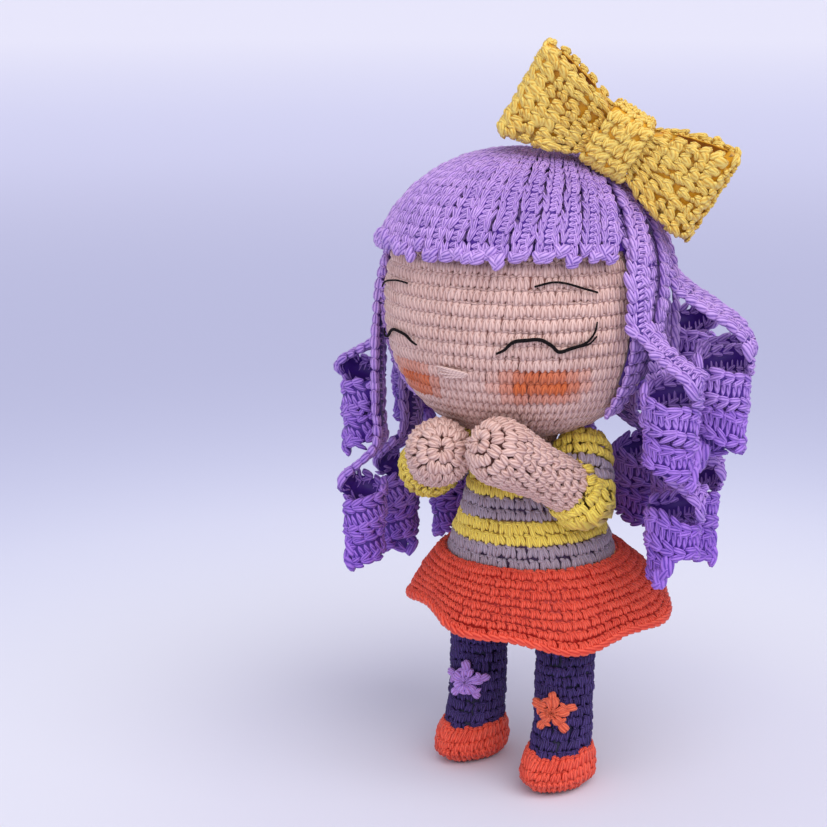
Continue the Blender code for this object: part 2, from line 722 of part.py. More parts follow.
def lock_centres(index, azimuth_deg):
    """A lock over the head, its hanging part, and the corkscrew that it ends in."""
    high = index % 2 == 0
    hand = 1 if azimuth_deg <= 180 else -1
    centres, normals, widths = lay_strip(lock_directions()[index], nearest_turn(FRINGE_COUNT + index))
    out = facing(azimuth_deg, 0)
    along = Vector((0, 0, 1)).cross(out) * hand
    axis_line = Vector((HEAD_CENTRE.x, HEAD_CENTRE.y, 0))
    leave_z = centres[-1].z
    hang_radius = HEAD_RADIUS + LAY_HEIGHT
    drop_share, curl_steps = LOCK_SHARES[index]
    side_share = read_table(SIDE_SHARES, azimuth_deg / 360)[0]
    drop = CURL_DROP * drop_share + CURL_SIDE_DROP * side_share
    curl_radius = CURL_RADIUS * read_table(RADIUS_SHARES, azimuth_deg / 360)[0]
    curl_reach = curl_radius + STRIP_THICKNESS / 2
    if high:
        spread = read_table(SPREAD_SHARES, azimuth_deg / 360)[0]
        axis_radius = hang_radius + STRIP_THICKNESS / 2 + CURL_CLEARANCE + curl_reach + CURL_SPREAD * spread
        curl_top = HIGH_CURL_TOP - drop
        late_flare = min(curl_top + CURL_PITCH, leave_z)
        flare_top = late_flare + (leave_z - late_flare) * spread
        hang_steps = 4
    else:
        axis_radius = SKIRT_RADIUS + SKIRT_FOLD + CURL_CLEARANCE + curl_reach
        curl_top = LOW_CURL_TOP - drop
        flare_top = curl_top + CURL_PITCH
        hang_steps = 5
    for step in range(1, hang_steps + 1):
        z = leave_z + (curl_top - leave_z) * step / hang_steps
        swing = smooth_step((flare_top - z) / (flare_top - curl_top))
        reach = hang_radius + (axis_radius + curl_radius - hang_radius) * swing
        centres.append(axis_line + Vector((0, 0, z)) + out * reach)
        normals.append(out)
        widths.append(STRIP_WIDTH / 2)
    axis = axis_line + out * axis_radius
    z, angle = curl_top, 0.0
    for step in range(curl_steps):
        rate = min(1.0, (step + 1) / 3)
        angle += math.tau / CURL_POINTS * rate
        z -= CURL_PITCH / CURL_POINTS * (2 - rate)
        spoke = out * math.cos(angle) + along * math.sin(angle)
        radius = curl_radius * (1 - (1 - TIP_SHARE) * step / curl_steps)
        centres.append(axis + spoke * radius + Vector((0, 0, z)))
        normals.append(spoke)
        widths.append(STRIP_WIDTH / 2)
    return centres, normals, widths


def least_own_gap(centres):
    """The least gap between a strip's turns, measured between points at least half a turn apart."""
    apart = CURL_POINTS // 2 + 1
    gaps = [
        (centres[other] - centres[index]).length - STRIP_WIDTH
        for index in range(len(centres))
        for other in range(index + apart, len(centres))
    ]
    return min(gaps)


def make_locks(joint):
    gaps = []
    for index, azimuth_deg in enumerate(lock_azimuths()):
        centres, normals, widths = lock_centres(index, azimuth_deg)
        gaps.append(least_own_gap(centres))
        name = f"lock_{index + 1:02d}"
        piece(name, ribbon(centres, normals, widths, STRIP_THICKNESS / 2), "lilac", joint)
    print(f"least gap within a lock: {min(gaps) * 1000:.2f} mm")


# Bow

def bow_frame():
    """The bow's own axes: along its loops, up its band away from the head, and out towards the front."""
    colatitude = 90 - BOW_COLATITUDE_DEG
    up = facing(BOW_AZIMUTH_DEG, colatitude)
    level = Vector((0, 0, 1)).cross(up).normalized()
    along = Matrix.Rotation(math.radians(BOW_TURN_DEG), 3, up) @ level
    out = along.cross(up)
    hair_top = STRIP_THICKNESS / 2 + SEAM
    seat = head_surface(up, LAY_HEIGHT + hair_top)[0]
    centre = seat + up * KNOT_HEIGHT / 2
    frame = Matrix((along, out, up)).transposed().to_4x4()
    frame.translation = centre
    return frame


# Share of the bow's half length, then depth and height shares between the band's waist and its loops
BOW_SHARES = (
    (0.00, 0.00, 0.00),
    (0.21, 0.02, 0.02),
    (0.34, 0.55, 0.28),
    (0.52, 0.92, 0.55),
    (0.72, 1.00, 0.78),
    (0.88, 0.80, 0.94),
    (0.97, 0.30, 1.00),
)


def squared_ring(x, half_deep, half_high, steps):
    """A soft-cornered rectangle across the bow, in the bow's own axes."""
    squareness = 0.5
    ring = []
    for step in range(steps):
        angle = math.tau * step / steps
        deep = math.copysign(abs(math.cos(angle)) ** squareness, math.cos(angle))
        high = math.copysign(abs(math.sin(angle)) ** squareness, math.sin(angle))
        ring.append(bow_frame() @ Vector((x, half_deep * deep, half_high * high)))
    return ring


def band_halves(share):
    """Half the depth and half the height of the folded band at a share of its half length."""
    deeper, higher = read_table(BOW_SHARES, share)
    half_deep = (BAND_WAIST_DEPTH + (BOW_DEPTH - BAND_WAIST_DEPTH) * deeper) / 2
    half_high = (BOW_WAIST_HEIGHT + (BOW_END_HEIGHT - BOW_WAIST_HEIGHT) * higher) / 2
    return half_deep, half_high


def make_bow(joint):
    steps = 16
    shares = [row[0] for row in BOW_SHARES]
    both = [-share for share in shares[:0:-1]] + shares
    rings = [squared_ring(share * BOW_HALF_LENGTH, *band_halves(abs(share)), steps) for share in both]
    band = piece("bow_band", skin_rings(rings), "butter", joint)
    for side in (-1, 1):
        open_shares = (0.37, 0.46, 0.61, 0.80, 0.885)
        rings = []
        for share in open_shares:
            half_deep = max(band_halves(share)[0] - BOW_WALL, SEAM)
            rings.append(squared_ring(side * share * BOW_HALF_LENGTH, half_deep, BOW_END_HEIGHT, steps))
        cutter = guide(f"guide_loop_{side}", skin_rings(rings), joint)
        opening = band.modifiers.new("loop", "BOOLEAN")
        opening.operation = "DIFFERENCE"
        opening.solver = "EXACT"
        opening.object = cutter
    make_knot(joint, steps)


def make_knot(joint, steps):
    """The short band that cinches the bow, as a ring round the folded band's waist."""
    waist_deep, waist_high = band_halves(BOW_SHARES[1][0])
    hole = (waist_deep + SEAM, waist_high + SEAM)
    soft = FABRIC / 2
    outside = ((KNOT_HALF_WIDTH, soft), (KNOT_HALF_WIDTH - soft, 0))
    rings = [squared_ring(-KNOT_HALF_WIDTH, *hole, steps)]
    for x, inset in outside + tuple((-x, inset) for x, inset in outside[::-1]):
        rings.append(squared_ring(-x, KNOT_DEPTH / 2 - inset, KNOT_HEIGHT / 2 - inset, steps))
    rings.append(squared_ring(KNOT_HALF_WIDTH, *hole, steps))
    piece("bow_knot", skin_loop(rings), "butter", joint)


def build():
    clear_scene()
    root = joint_empty("doll", (0, 0, 0), None)
    neck_place = (0, -HEAD_FORWARD, COLLAR_Z)
    neck = joint_empty("neck_turn_axis", neck_place, root)
    nod = joint_empty("head_nod_axis", (0, -HEAD_FORWARD, COLLAR_Z + NECK_SHOWN + FABRIC), neck)
    axis_y, axis_z = shoulder_axis()
    make_torso(root)
    make_skirt(root)
    make_neck(neck)
    make_head(nod)
    make_face(nod)
    make_wig_cap(nod)
    make_fringe(nod)
    make_locks(nod)
    make_bow(nod)
    patch_share = {"left": 0.43, "right": 0.46}
    patch_colour = {"left": "coral", "right": "violet_star"}
    for name, side in (("left", 1), ("right", -1)):
        hip = joint_empty("hip_axis_" + name, hip_place(side), root)
        make_leg(name, side, hip)
        make_shoe(name, side, hip)
        make_patch(name, side, patch_share[name], patch_colour[name], hip)
        shoulder = joint_empty("shoulder_axis_" + name, (side * WAIST_RADIUS, axis_y, axis_z), root)
        make_arm(name, side, shoulder)
    root.location = (-BODY_ASIDE, -BODY_FORWARD, 0)


build()
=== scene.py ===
import math

import bpy
import numpy as np
from mathutils import Matrix, Vector


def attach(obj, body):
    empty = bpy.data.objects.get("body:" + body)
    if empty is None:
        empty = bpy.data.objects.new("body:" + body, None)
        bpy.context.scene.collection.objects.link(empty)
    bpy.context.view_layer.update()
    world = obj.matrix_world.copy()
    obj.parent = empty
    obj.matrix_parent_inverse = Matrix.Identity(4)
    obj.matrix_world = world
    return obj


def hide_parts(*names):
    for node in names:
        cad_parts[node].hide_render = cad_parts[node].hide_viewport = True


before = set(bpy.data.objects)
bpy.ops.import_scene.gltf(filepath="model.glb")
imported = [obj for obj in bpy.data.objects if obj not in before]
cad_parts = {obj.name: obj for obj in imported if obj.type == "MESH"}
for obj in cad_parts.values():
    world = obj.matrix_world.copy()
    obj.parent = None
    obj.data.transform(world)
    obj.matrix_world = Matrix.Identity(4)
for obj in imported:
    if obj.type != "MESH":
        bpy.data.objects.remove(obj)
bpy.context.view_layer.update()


# The camera stands in front of the doll and to its left, a little above its eyes, with a long lens.
CAMERA_PLACE = (0.2284, -0.4353, 0.1997)
CAMERA_TURN_DEG = 31.6
CAMERA_PITCH_DEG = 12.5
LENS_MM = 88.06
SENSOR_MM = 36

camera_data = bpy.data.cameras.new("camera")
camera_data.lens = LENS_MM
camera_data.sensor_width = SENSOR_MM
camera_data.clip_start = 0.01
camera = bpy.data.objects.new("camera", camera_data)
bpy.context.collection.objects.link(camera)
camera.location = CAMERA_PLACE
camera.rotation_euler = (math.radians(90 - CAMERA_PITCH_DEG), 0, math.radians(CAMERA_TURN_DEG))
bpy.context.scene.camera = camera
bpy.context.scene.view_settings.view_transform = "Standard"


# The doll stands on a matt lavender table top that runs on out of sight. Its colour by distance from the doll is
# painted light and shade: a little darker right at the doll as painted shadow, pale round it, a painted shade deeper
# beyond it, and painted light that fades to near white in the distance.
FLOOR_SIZE = 90.0
FLOOR_NEAR_LOG, FLOOR_FAR_LOG = -1.1, 0.72
FLOOR_PAINTED_LIGHT_AND_SHADE = (
    (0.00, (0.72, 0.72, 0.85)), (0.15, (0.79, 0.80, 0.89)), (0.27, (0.68, 0.70, 0.86)), (0.36, (0.53, 0.55, 0.74)),
    (0.45, (0.46, 0.475, 0.665)), (0.57, (0.47, 0.485, 0.68)), (0.65, (0.52, 0.53, 0.72)), (0.73, (0.60, 0.61, 0.81)),
    (0.84, (0.64, 0.65, 0.84)), (1.00, (0.80, 0.80, 0.91)),
)


def fill_inputs(tree, node, inputs):
    """Give a node's inputs their values, or link them to other nodes' outputs."""
    for label, value in inputs.items():
        if isinstance(value, bpy.types.NodeSocket):
            tree.links.new(value, node.inputs[label])
        else:
            node.inputs[label].default_value = value
    return node


def add_node(tree, kind, inputs=None, **settings):
    """A new shader node with its settings and its inputs."""
    node = tree.nodes.new("ShaderNode" + kind)
    for label, value in settings.items():
        setattr(node, label, value)
    return fill_inputs(tree, node, inputs or {})


bpy.ops.object.select_all(action="DESELECT")
bpy.ops.mesh.primitive_plane_add(size=FLOOR_SIZE, location=(0, 0, 0))
floor = bpy.context.object
floor.name = "floor"
floor_material = bpy.data.materials.new("table")
floor_material.use_nodes = True
tree = floor_material.node_tree
place = add_node(tree, "TexCoord").outputs["Object"]
away = add_node(tree, "VectorMath", {0: place}, operation="LENGTH").outputs["Value"]
power = add_node(tree, "Math", {0: away, 1: 10}, operation="LOGARITHM").outputs[0]
share = add_node(tree, "MapRange", {"Value": power, "From Min": FLOOR_NEAR_LOG, "From Max": FLOOR_FAR_LOG})
# The table's colour is painted light and shade, read from a ramp by the distance from the doll.
painted_floor_light = add_node(tree, "ValToRGB", {"Fac": share.outputs["Result"]})
painted_floor_light.color_ramp.interpolation = "B_SPLINE"
for stop, (at, colour) in enumerate(FLOOR_PAINTED_LIGHT_AND_SHADE):
    element = painted_floor_light.color_ramp.elements[stop] if stop < 2 else painted_floor_light.color_ramp.elements.new(at)
    element.position = at
    element.color = (*colour, 1)
shader = tree.nodes["Principled BSDF"]
fill_inputs(tree, shader, {"Base Color": painted_floor_light.outputs["Color"], "Roughness": 0.8, "Specular IOR Level": 0.15})
floor.data.materials.append(floor_material)

# Beyond it the camera sees a wall as pale as the far floor, and the doll is lit by a soft pale sky.
WALL_COLOUR = (0.82, 0.82, 0.95)
SKY_COLOUR, SKY_STRENGTH = (0.90, 0.89, 1.0), 0.6
world = bpy.data.worlds.new("studio")
bpy.context.scene.world = world
world.use_nodes = True
tree = world.node_tree
shown = add_node(tree, "Background", {"Color": (*WALL_COLOUR, 1)}).outputs[0]
lit = fill_inputs(tree, tree.nodes["Background"], {"Color": (*SKY_COLOUR, 1), "Strength": SKY_STRENGTH}).outputs[0]
seen = add_node(tree, "LightPath").outputs["Is Camera Ray"]
choose = add_node(tree, "MixShader", {"Fac": seen, 1: lit, 2: shown}).outputs[0]
fill_inputs(tree, tree.nodes["World Output"], {"Surface": choose})


# Broad soft lights: the stronger one high in front on the camera's right, a weaker one on its left.
def way_to(azimuth, elevation):
    """The way to a place, by angle round from straight ahead and angle up."""
    level = np.cos(elevation)
    return np.stack((np.sin(azimuth) * level, -np.cos(azimuth) * level, np.sin(elevation)), -1)


def soft_light(name, azimuth_deg, elevation_deg, strength, spread_deg, colour):
    data = bpy.data.lights.new(name, "SUN")
    data.energy = strength
    data.angle = math.radians(spread_deg)
    data.color = colour
    lamp = bpy.data.objects.new(name, data)
    bpy.context.collection.objects.link(lamp)
    toward = Vector(way_to(math.radians(azimuth_deg), math.radians(elevation_deg)))
    lamp.rotation_euler = toward.to_track_quat("Z", "Y").to_euler()


soft_light("key", 60, 50, 1.9, 60, (1.0, 0.985, 0.96))
soft_light("fill", 0, 8, 0.85, 80, (0.98, 0.97, 1.0))


# Head: a ball of single crochet in skin-coloured cotton, worked from the crown down and stuffed
# firmly. Each stitch shows as two short plump lengths of plied yarn, side by side over a groove.
HEAD_RADIUS, HEAD_HALF_HEIGHT, HEAD_ROUNDNESS = 0.0334, 0.0327, 2.2
DOLL_PLACE = np.array((-0.0024, -0.0067, 0.0))
HEAD_FORWARD = 0.003
HEAD_CENTRE = DOLL_PLACE + (0, -HEAD_FORWARD, 0.1205)
STITCH_WIDTH = 0.0032
STITCH_SINK = 0.00085
CLOTH_SINK, CLOTH_SIDES = 0.0011, 48
GRAIN_RINGS = ((-0.95, -0.5, 1.22, 1), (-0.5, 0, 1.04, 1), (0, 0.5, 1.04, -1), (0.5, 0.95, 1.22, -1))
SKIN, BLUSH = (0.82, 0.57, 0.505), (0.72, 0.145, 0.022)


def grain(start, end, half_width, half_depth, taper=0.0):
    """A plump length of yarn from one place to another in a stitch's own square, fuller at its start."""
    start, end = Vector(start), Vector(end)
    way = (end - start).normalized()
    over = (Vector((0, 0, 1)) - way * way.z).normalized()
    bpy.ops.object.select_all(action="DESELECT")
    bpy.ops.mesh.primitive_uv_sphere_add(segments=6, ring_count=5, radius=1)
    ball = bpy.context.object
    for low, high, fullness, sign in GRAIN_RINGS:
        size = fullness + sign * taper
        for part in (ball.data.vertices, ball.data.edges, ball.data.polygons):
            part.foreach_set("select", [False] * len(part))
        for vert in ball.data.vertices:
            vert.select = low < vert.co.z < high
        bpy.ops.object.mode_set(mode="EDIT")
        bpy.ops.transform.resize(value=(size, size, 1), center_override=(0, 0, 0))
        bpy.ops.object.mode_set(mode="OBJECT")
    ball.scale = (half_width, half_depth, (end - start).length / 2)
    turn = Matrix((over.cross(way), over, way)).transposed()
    ball.matrix_world = Matrix.Translation((start + end) / 2) @ turn.to_4x4() @ Matrix.Diagonal((*ball.scale, 1))
    bpy.ops.object.transform_apply(location=True, rotation=True, scale=True)
    return ball


def read_mesh(item):
    """A mesh's corners, faces and yarn coordinates as arrays."""
    mesh = item.data
    verts = np.empty(len(mesh.vertices) * 3)
    mesh.vertices.foreach_get("co", verts)
    loops = np.empty(len(mesh.loops), int)
    mesh.loops.foreach_get("vertex_index", loops)
    totals = np.empty(len(mesh.polygons), int)
    mesh.polygons.foreach_get("loop_total", totals)
    uv = np.zeros(len(mesh.loops) * 2)
    if mesh.uv_layers:
        mesh.uv_layers[0].data.foreach_get("uv", uv)
    return verts.reshape(-1, 3), loops, totals, uv.reshape(-1, 2)


def stitch(name, grains):
    """Join grains into one stitch and read it, then put the model of it away."""
    balls = [grain(*each) for each in grains]
    bpy.ops.object.select_all(action="DESELECT")
    for ball in balls:
        ball.select_set(True)
    bpy.context.view_layer.objects.active = balls[0]
    bpy.ops.object.join()
    made = read_mesh(balls[0])
    bpy.data.objects.remove(balls[0], do_unlink=True)
    return made


# A stitch's square is one stitch wide (x) and one row high (y). Heights (z) are in yarn depths.
# Work from the top down shows two fat feet over a groove, and work from the bottom up shows vees whose
# points lie over the row below.
TENT_STITCH = stitch("tent", (
    ((-0.31, -0.43, -0.16), (-0.20, 0.28, 0.28), 0.31, 0.82, 0.0),
    ((0.20, -0.43, -0.16), (0.29, 0.26, 0.26), 0.30, 0.82, 0.0),
    ((-0.50, 0.32, -0.06), (0.04, 0.48, -0.12), 0.17, 0.50),
    ((0.52, 0.34, -0.06), (0.00, 0.44, -0.08), 0.17, 0.50),
))
VEE_STITCH = stitch("vee", (
    ((-0.10, -0.56, 0.26), (-0.32, 0.42, 0.02), 0.30, 0.76, -0.02),
    ((0.12, -0.58, 0.24), (0.30, 0.44, 0.00), 0.29, 0.76, -0.02),
))
BEAD_STITCH = stitch("bead", (
    ((-0.32, -0.50, -0.06), (-0.08, 0.38, 0.26), 0.28, 0.78, 0.04),
    ((0.30, -0.44, -0.02), (0.24, 0.46, 0.20), 0.27, 0.74, 0.04),
    ((-0.44, 0.38, 0.06), (0.10, 0.24, 0.28), 0.19, 0.62),
))


def unit(vectors):
    vectors = np.asarray(vectors, float)
    return vectors / np.maximum(np.linalg.norm(vectors, axis=-1, keepdims=True), 1e-12)


def way_along(points):
    """How far along a line each of its points is."""
    return np.concatenate(([0], np.cumsum(np.linalg.norm(np.diff(points, axis=0), axis=1))))


def surface_normals(surface, u, v):
    """The way out of a surface, from small steps along its two directions."""
    step = 1e-4
    along_u = surface(u + step, v) - surface(u - step, v)
    along_v = surface(u, v + step) - surface(u, v - step)
    return unit(np.cross(along_u, along_v))


def lay(surface, cells, shape, depth, seed=1, tone=None, sink=STITCH_SINK, loose=1.0):
    """Copy a stitch into every cell (u, v, width, height) of a surface, and say each copy's shade and tone."""
    cells = np.asarray(cells, float)
    verts, loops, totals, uv = shape
    count, size = len(cells), len(verts)
    random = np.random.default_rng(seed)
    wobble = 1 + 0.09 * loose * random.standard_normal((count, 3)).clip(-2, 2)
    shift = 0.045 * loose * random.standard_normal((count, 2)).clip(-2, 2)
    lean = 0.12 * loose * random.standard_normal((count, 1)).clip(-2, 2)
    across = verts[None, :, 0] + lean * verts[None, :, 1]
    upward = verts[None, :, 1] - lean * verts[None, :, 0]
    u = cells[:, 0:1] + (across * wobble[:, 0:1] + shift[:, 0:1]) * cells[:, 2:3]
    v = cells[:, 1:2] + (upward * wobble[:, 1:2] + shift[:, 1:2]) * cells[:, 3:4]
    u, v = u.ravel(), v.ravel()
    places = surface(u, v)
    heights = (verts[None, :, 2] * wobble[:, 2:3] * depth).ravel() - sink
    places = places + surface_normals(surface, u, v) * heights[:, None]
    all_loops = (loops[None, :] + size * np.arange(count)[:, None]).ravel()
    shade = np.repeat(random.uniform(0, 1, count), size)
    tones = np.zeros(count * size) if tone is None else np.repeat(tone, size)
    return places, all_loops, np.tile(totals, count), np.tile(uv, (count, 1)), shade, tones


def ring_cells(surface, levels, height, width=STITCH_WIDTH, slant=0.37, keep=None):
    """Rows of cells round a surface whose u goes once round in a full turn."""
    cells = []
    samples = np.linspace(0, math.tau, 73)
    for row, level in enumerate(levels):
        length = way_along(surface(samples, np.full(samples.shape, level)))[-1]
        count = max(4, round(length / width))
        for index in range(count):
            u = math.pi + (index + slant * row) * math.tau / count
            if keep is None or keep(u, level):
                cells.append((u, level, math.tau / count, height))
    return cells


def even_rounds(surface, length, rows, width):
    """Rounds of cells that fill a surface's length evenly."""
    return ring_cells(surface, (np.arange(rows) + 0.5) * length / rows, length / rows, width)


def between_rings(count, sides):
    """The faces that join rings of points: each one's ring, its corner on it, and its four points."""
    ring, corner = np.divmod(np.arange((count - 1) * sides), sides)
    here, following = ring * sides + corner, ring * sides + (corner + 1) % sides
    return ring, corner, np.stack((here, following, following + sides, here + sides), 1)


def closed_rings(rings, start, end, along=None):
    """Faces through rings of points, closed onto a point at each end, with coordinates round and along."""
    count, sides = len(rings), len(rings[0])
    along = np.zeros(count) if along is None else along
    ring, corner, faces = between_rings(count, sides)
    left, right, low, high = corner / sides, (corner + 1) / sides, along[ring], along[ring + 1]
    uv = np.stack((left, low, right, low, right, high, left, high), 1).reshape(-1, 2)
    last, corner = (count - 1) * sides, np.arange(sides)
    following, tip = (corner + 1) % sides, np.full(sides, count * sides)
    ends = np.stack((following, corner, tip, last + corner, last + following, tip + 1), 1)
    verts = np.concatenate([*rings, np.array([start, end])])
    loops = np.concatenate((faces.ravel(), ends.ravel()))
    totals = np.repeat((4, 3), (len(faces), 2 * sides))
    uv = np.concatenate((uv, np.zeros((ends.size, 2))))
    return verts, loops, totals, uv, np.full(len(verts), 0.5), np.zeros(len(verts))


def cloth_inside(surface, levels, sink=CLOTH_SINK, sides=CLOTH_SIDES):
    """The cloth that shows between the stitches: the surface itself, sunk a little and closed."""
    around = np.arange(sides) * math.tau / sides
    rows = [np.full(sides, level) for level in levels]
    rings = [surface(around, row) - surface_normals(surface, around, row) * sink for row in rows]
    return closed_rings(rings, rings[0].mean(0), rings[-1].mean(0))


def plain_part(verts, loops, totals):
    """A part of one even shade, whose yarn has no plies to show."""
    return verts, loops, totals, np.zeros((len(loops), 2)), np.full(len(verts), 0.5), np.zeros(len(verts))


def cloth_under(node, sink):
    """The CAD node's own shape, sunk a little, as the cloth that shows between the stitches."""
    bpy.ops.object.select_all(action="DESELECT")
    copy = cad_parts[node].copy()
    copy.data = copy.data.copy()
    bpy.context.collection.objects.link(copy)
    copy.hide_set(False)
    copy.select_set(True)
    bpy.context.view_layer.objects.active = copy
    bpy.ops.object.mode_set(mode="EDIT")
    bpy.ops.mesh.select_all(action="SELECT")
    bpy.ops.mesh.remove_doubles(threshold=0.00002)
    bpy.ops.transform.shrink_fatten(value=-sink)
    bpy.ops.object.mode_set(mode="OBJECT")
    verts, loops, totals, _ = read_mesh(copy)
    bpy.data.objects.remove(copy, do_unlink=True)
    return plain_part(verts, loops, totals)


def make_piece(name, parts, materials, body, nodes):
    """One object from several parts, each with a material, that rides on a body and stands for CAD nodes."""
    mesh = bpy.data.meshes.new(name)
    offsets = np.cumsum([0] + [len(part[0]) for part in parts[:-1]])
    verts, loops, totals, uv, shade, tone = (np.concatenate(columns) for columns in zip(*parts))
    loops = loops + np.repeat(offsets, [len(part[1]) for part in parts])
    owner = np.repeat(range(len(parts)), [len(part[2]) for part in parts])
    mesh.vertices.add(len(verts))
    mesh.loops.add(len(loops))
    mesh.polygons.add(len(totals))
    mesh.vertices.foreach_set("co", verts.astype(np.float32).ravel())
    mesh.loops.foreach_set("vertex_index", loops.astype(np.int32))
    mesh.polygons.foreach_set("loop_start", (np.cumsum(totals) - totals).astype(np.int32))
    mesh.polygons.foreach_set("loop_total", totals.astype(np.int32))
    mesh.uv_layers.new(name="yarn").data.foreach_set("uv", uv.astype(np.float32).ravel())
    for label, values in (("shade", shade), ("tone", tone)):
        mesh.attributes.new(label, "FLOAT", "POINT").data.foreach_set("value", values.astype(np.float32))
    mesh.polygons.foreach_set("material_index", np.minimum(owner, len(materials) - 1).astype(np.int32))
    mesh.polygons.foreach_set("use_smooth", np.ones(len(totals), bool))
    for material in materials:
        mesh.materials.append(material)
    mesh.update(calc_edges=True)
    mesh.validate()
    item = bpy.data.objects.new(name, mesh)
    bpy.context.collection.objects.link(item)
    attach(item, body)
    if nodes:
        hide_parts(*nodes)
    return item


FIBRE_SCALE, CLOUD_SCALE = 2600, 90
RIDGE_PAINTED_LIGHT, SHADE_LIGHT, CLOUD_LIGHT = 0.80, 0.24, 0.16
RIDGE_RISE, FIBRE_RISE = 0.8, 0.5
YARN_SOCKETS = (
    ("INPUT", "Color", ("Light", "Painted ply shade", "Second")), ("INPUT", "Float", ("Plies", "Turns")),
    ("OUTPUT", "Color", ("Color",)), ("OUTPUT", "Float", ("Height",)),
)


def yarn_group():
    """The look of plied yarn: the twist of its plies, loose fibre, and each stitch's own shade. The grooves between
    plies take on the ply shade colour as painted shade, and the ridges stay near the yarn's own colour.
    """
    group = bpy.data.node_groups.new("plied yarn", "ShaderNodeTree")
    for way, kind, labels in YARN_SOCKETS:
        for label in labels:
            group.interface.new_socket(name=label, in_out=way, socket_type="NodeSocket" + kind)
    given = group.nodes.new("NodeGroupInput").outputs

    def reckon(operation, first, second=None, **settings):
        inputs = {0: first} if second is None else {0: first, 1: second}
        return add_node(group, "Math", inputs, operation=operation, **settings).outputs[0]

    def mix(kind, factor, first, second):
        inputs = {"Fac": factor, "Color1": first, "Color2": second}
        return add_node(group, "MixRGB", inputs, blend_type=kind).outputs["Color"]

    def own(label):
        return add_node(group, "Attribute", attribute_name=label).outputs["Fac"]

    def noise(**inputs):
        return add_node(group, "TexNoise", {"Vector": place, **inputs}).outputs["Fac"]

    place = add_node(group, "TexCoord").outputs["Object"]
    yarn_uv = add_node(group, "UVMap", uv_map="yarn").outputs["UV"]
    parts = add_node(group, "SeparateXYZ", {0: yarn_uv}).outputs
    around = reckon("MULTIPLY", parts["X"], given["Plies"])
    along = reckon("MULTIPLY", parts["Y"], given["Turns"])
    phase = reckon("MULTIPLY", reckon("ADD", around, along), math.pi)
    ridge = reckon("ABSOLUTE", reckon("SINE", phase))
    colour = mix("MIX", own("tone"), given["Light"], given["Second"])
    # Painted shade: where the plies dip between ridges the colour moves towards the ply shade colour. Each stitch's
    # random tone and a cloud of noise add real variation.
    painted_ply_light_and_tone = reckon("ADD", reckon("MULTIPLY", ridge, RIDGE_PAINTED_LIGHT), reckon("MULTIPLY", own("shade"), SHADE_LIGHT))
    cloud = reckon("MULTIPLY", noise(Scale=CLOUD_SCALE), CLOUD_LIGHT)
    painted_ply_light_and_tone = reckon("ADD", painted_ply_light_and_tone, cloud, use_clamp=True)
    fibre = reckon("MULTIPLY", noise(Scale=FIBRE_SCALE, Detail=3), FIBRE_RISE)
    fill_inputs(group, group.nodes.new("NodeGroupOutput"), {
        "Color": mix("MIX", painted_ply_light_and_tone, mix("MULTIPLY", 1.0, colour, given["Painted ply shade"]), colour),
        "Height": reckon("ADD", reckon("MULTIPLY", ridge, RIDGE_RISE), fibre),
    })
    return group


PLIED_YARN = yarn_group()


def yarn(name, light, ply_shade, second=None, plies=6, turns=1, sheen=0.12, roughness=0.5, bump=0.0002, specular=0.35):
    """A yarn's material. Ply shade is what its colour is multiplied by as painted shade in the grooves between plies,
    and in part on stitches whose random tone is darker.
    """
    material = bpy.data.materials.new(name)
    material.use_nodes = True
    tree = material.node_tree
    colours = {"Light": (*light, 1), "Painted ply shade": (*ply_shade, 1), "Second": (*(second or light), 1)}
    look = add_node(tree, "Group", {**colours, "Plies": plies, "Turns": turns}, node_tree=PLIED_YARN).outputs
    relief = add_node(tree, "Bump", {"Strength": 0.9, "Distance": bump, "Height": look["Height"]})
    fill_inputs(tree, tree.nodes["Principled BSDF"], {
        "Base Color": look["Color"], "Normal": relief.outputs["Normal"], "Roughness": roughness,
        "Specular IOR Level": specular, "Sheen Weight": sheen, "Sheen Roughness": 0.5,
    })
    return material


def head_point(azimuth, elevation):
    """The head's skin by angle round from straight ahead and angle up, from its centre."""
    ways, power = way_to(azimuth, elevation), HEAD_ROUNDNESS
    radial = np.abs(np.cos(elevation) / HEAD_RADIUS) ** power + np.abs(ways[..., 2] / HEAD_HALF_HEIGHT) ** power
    return HEAD_CENTRE + ways * (radial ** (-1 / power))[..., None]


def above_head(azimuth, elevation, height):
    """A place over the head's skin, by the same angles and by how high over it."""
    normals = surface_normals(head_point, azimuth, elevation)
    return head_point(azimuth, elevation) + normals * np.asarray(height)[..., None]


def wrapped_deg(azimuth):
    """Degrees round from straight ahead, from -180 to 180."""
    return (np.degrees(azimuth) + 180) % 360 - 180


def under_hair(azimuth, elevation):
    """Whether the wig cap hides this place."""
    azimuth, elevation = wrapped_deg(azimuth), math.degrees(elevation)
    return elevation > 31 or (abs(azimuth) > 82 and elevation > -24)


ROW_HEIGHT = 0.0032
row_step = ROW_HEIGHT / HEAD_RADIUS
head_levels = np.arange(math.radians(33), math.radians(-74), -row_step)
head_cells = ring_cells(head_point, head_levels, row_step, keep=lambda u, v: not under_hair(u, v))
head_azimuth = wrapped_deg([cell[0] for cell in head_cells])
head_elevation = np.degrees([cell[1] for cell in head_cells])
BLUSH_EDGE, BLUSH_FADE = 1.25, 0.70
CHEEKS_DEG = (((38, -26.5), (21, 7.5)), ((-32, -28.5), (19, 7.5)))


def blush(azimuth, elevation, middle, half):
    """How much of the cheek's blush a place has, fading over a stitch or two at its edge."""
    away = np.hypot((azimuth - middle[0]) / half[0], (elevation - middle[1]) / half[1] * 0.8)
    away = np.maximum(away, abs(elevation - middle[1]) / half[1])
    return np.clip((BLUSH_EDGE - away) / BLUSH_FADE, 0, 1)


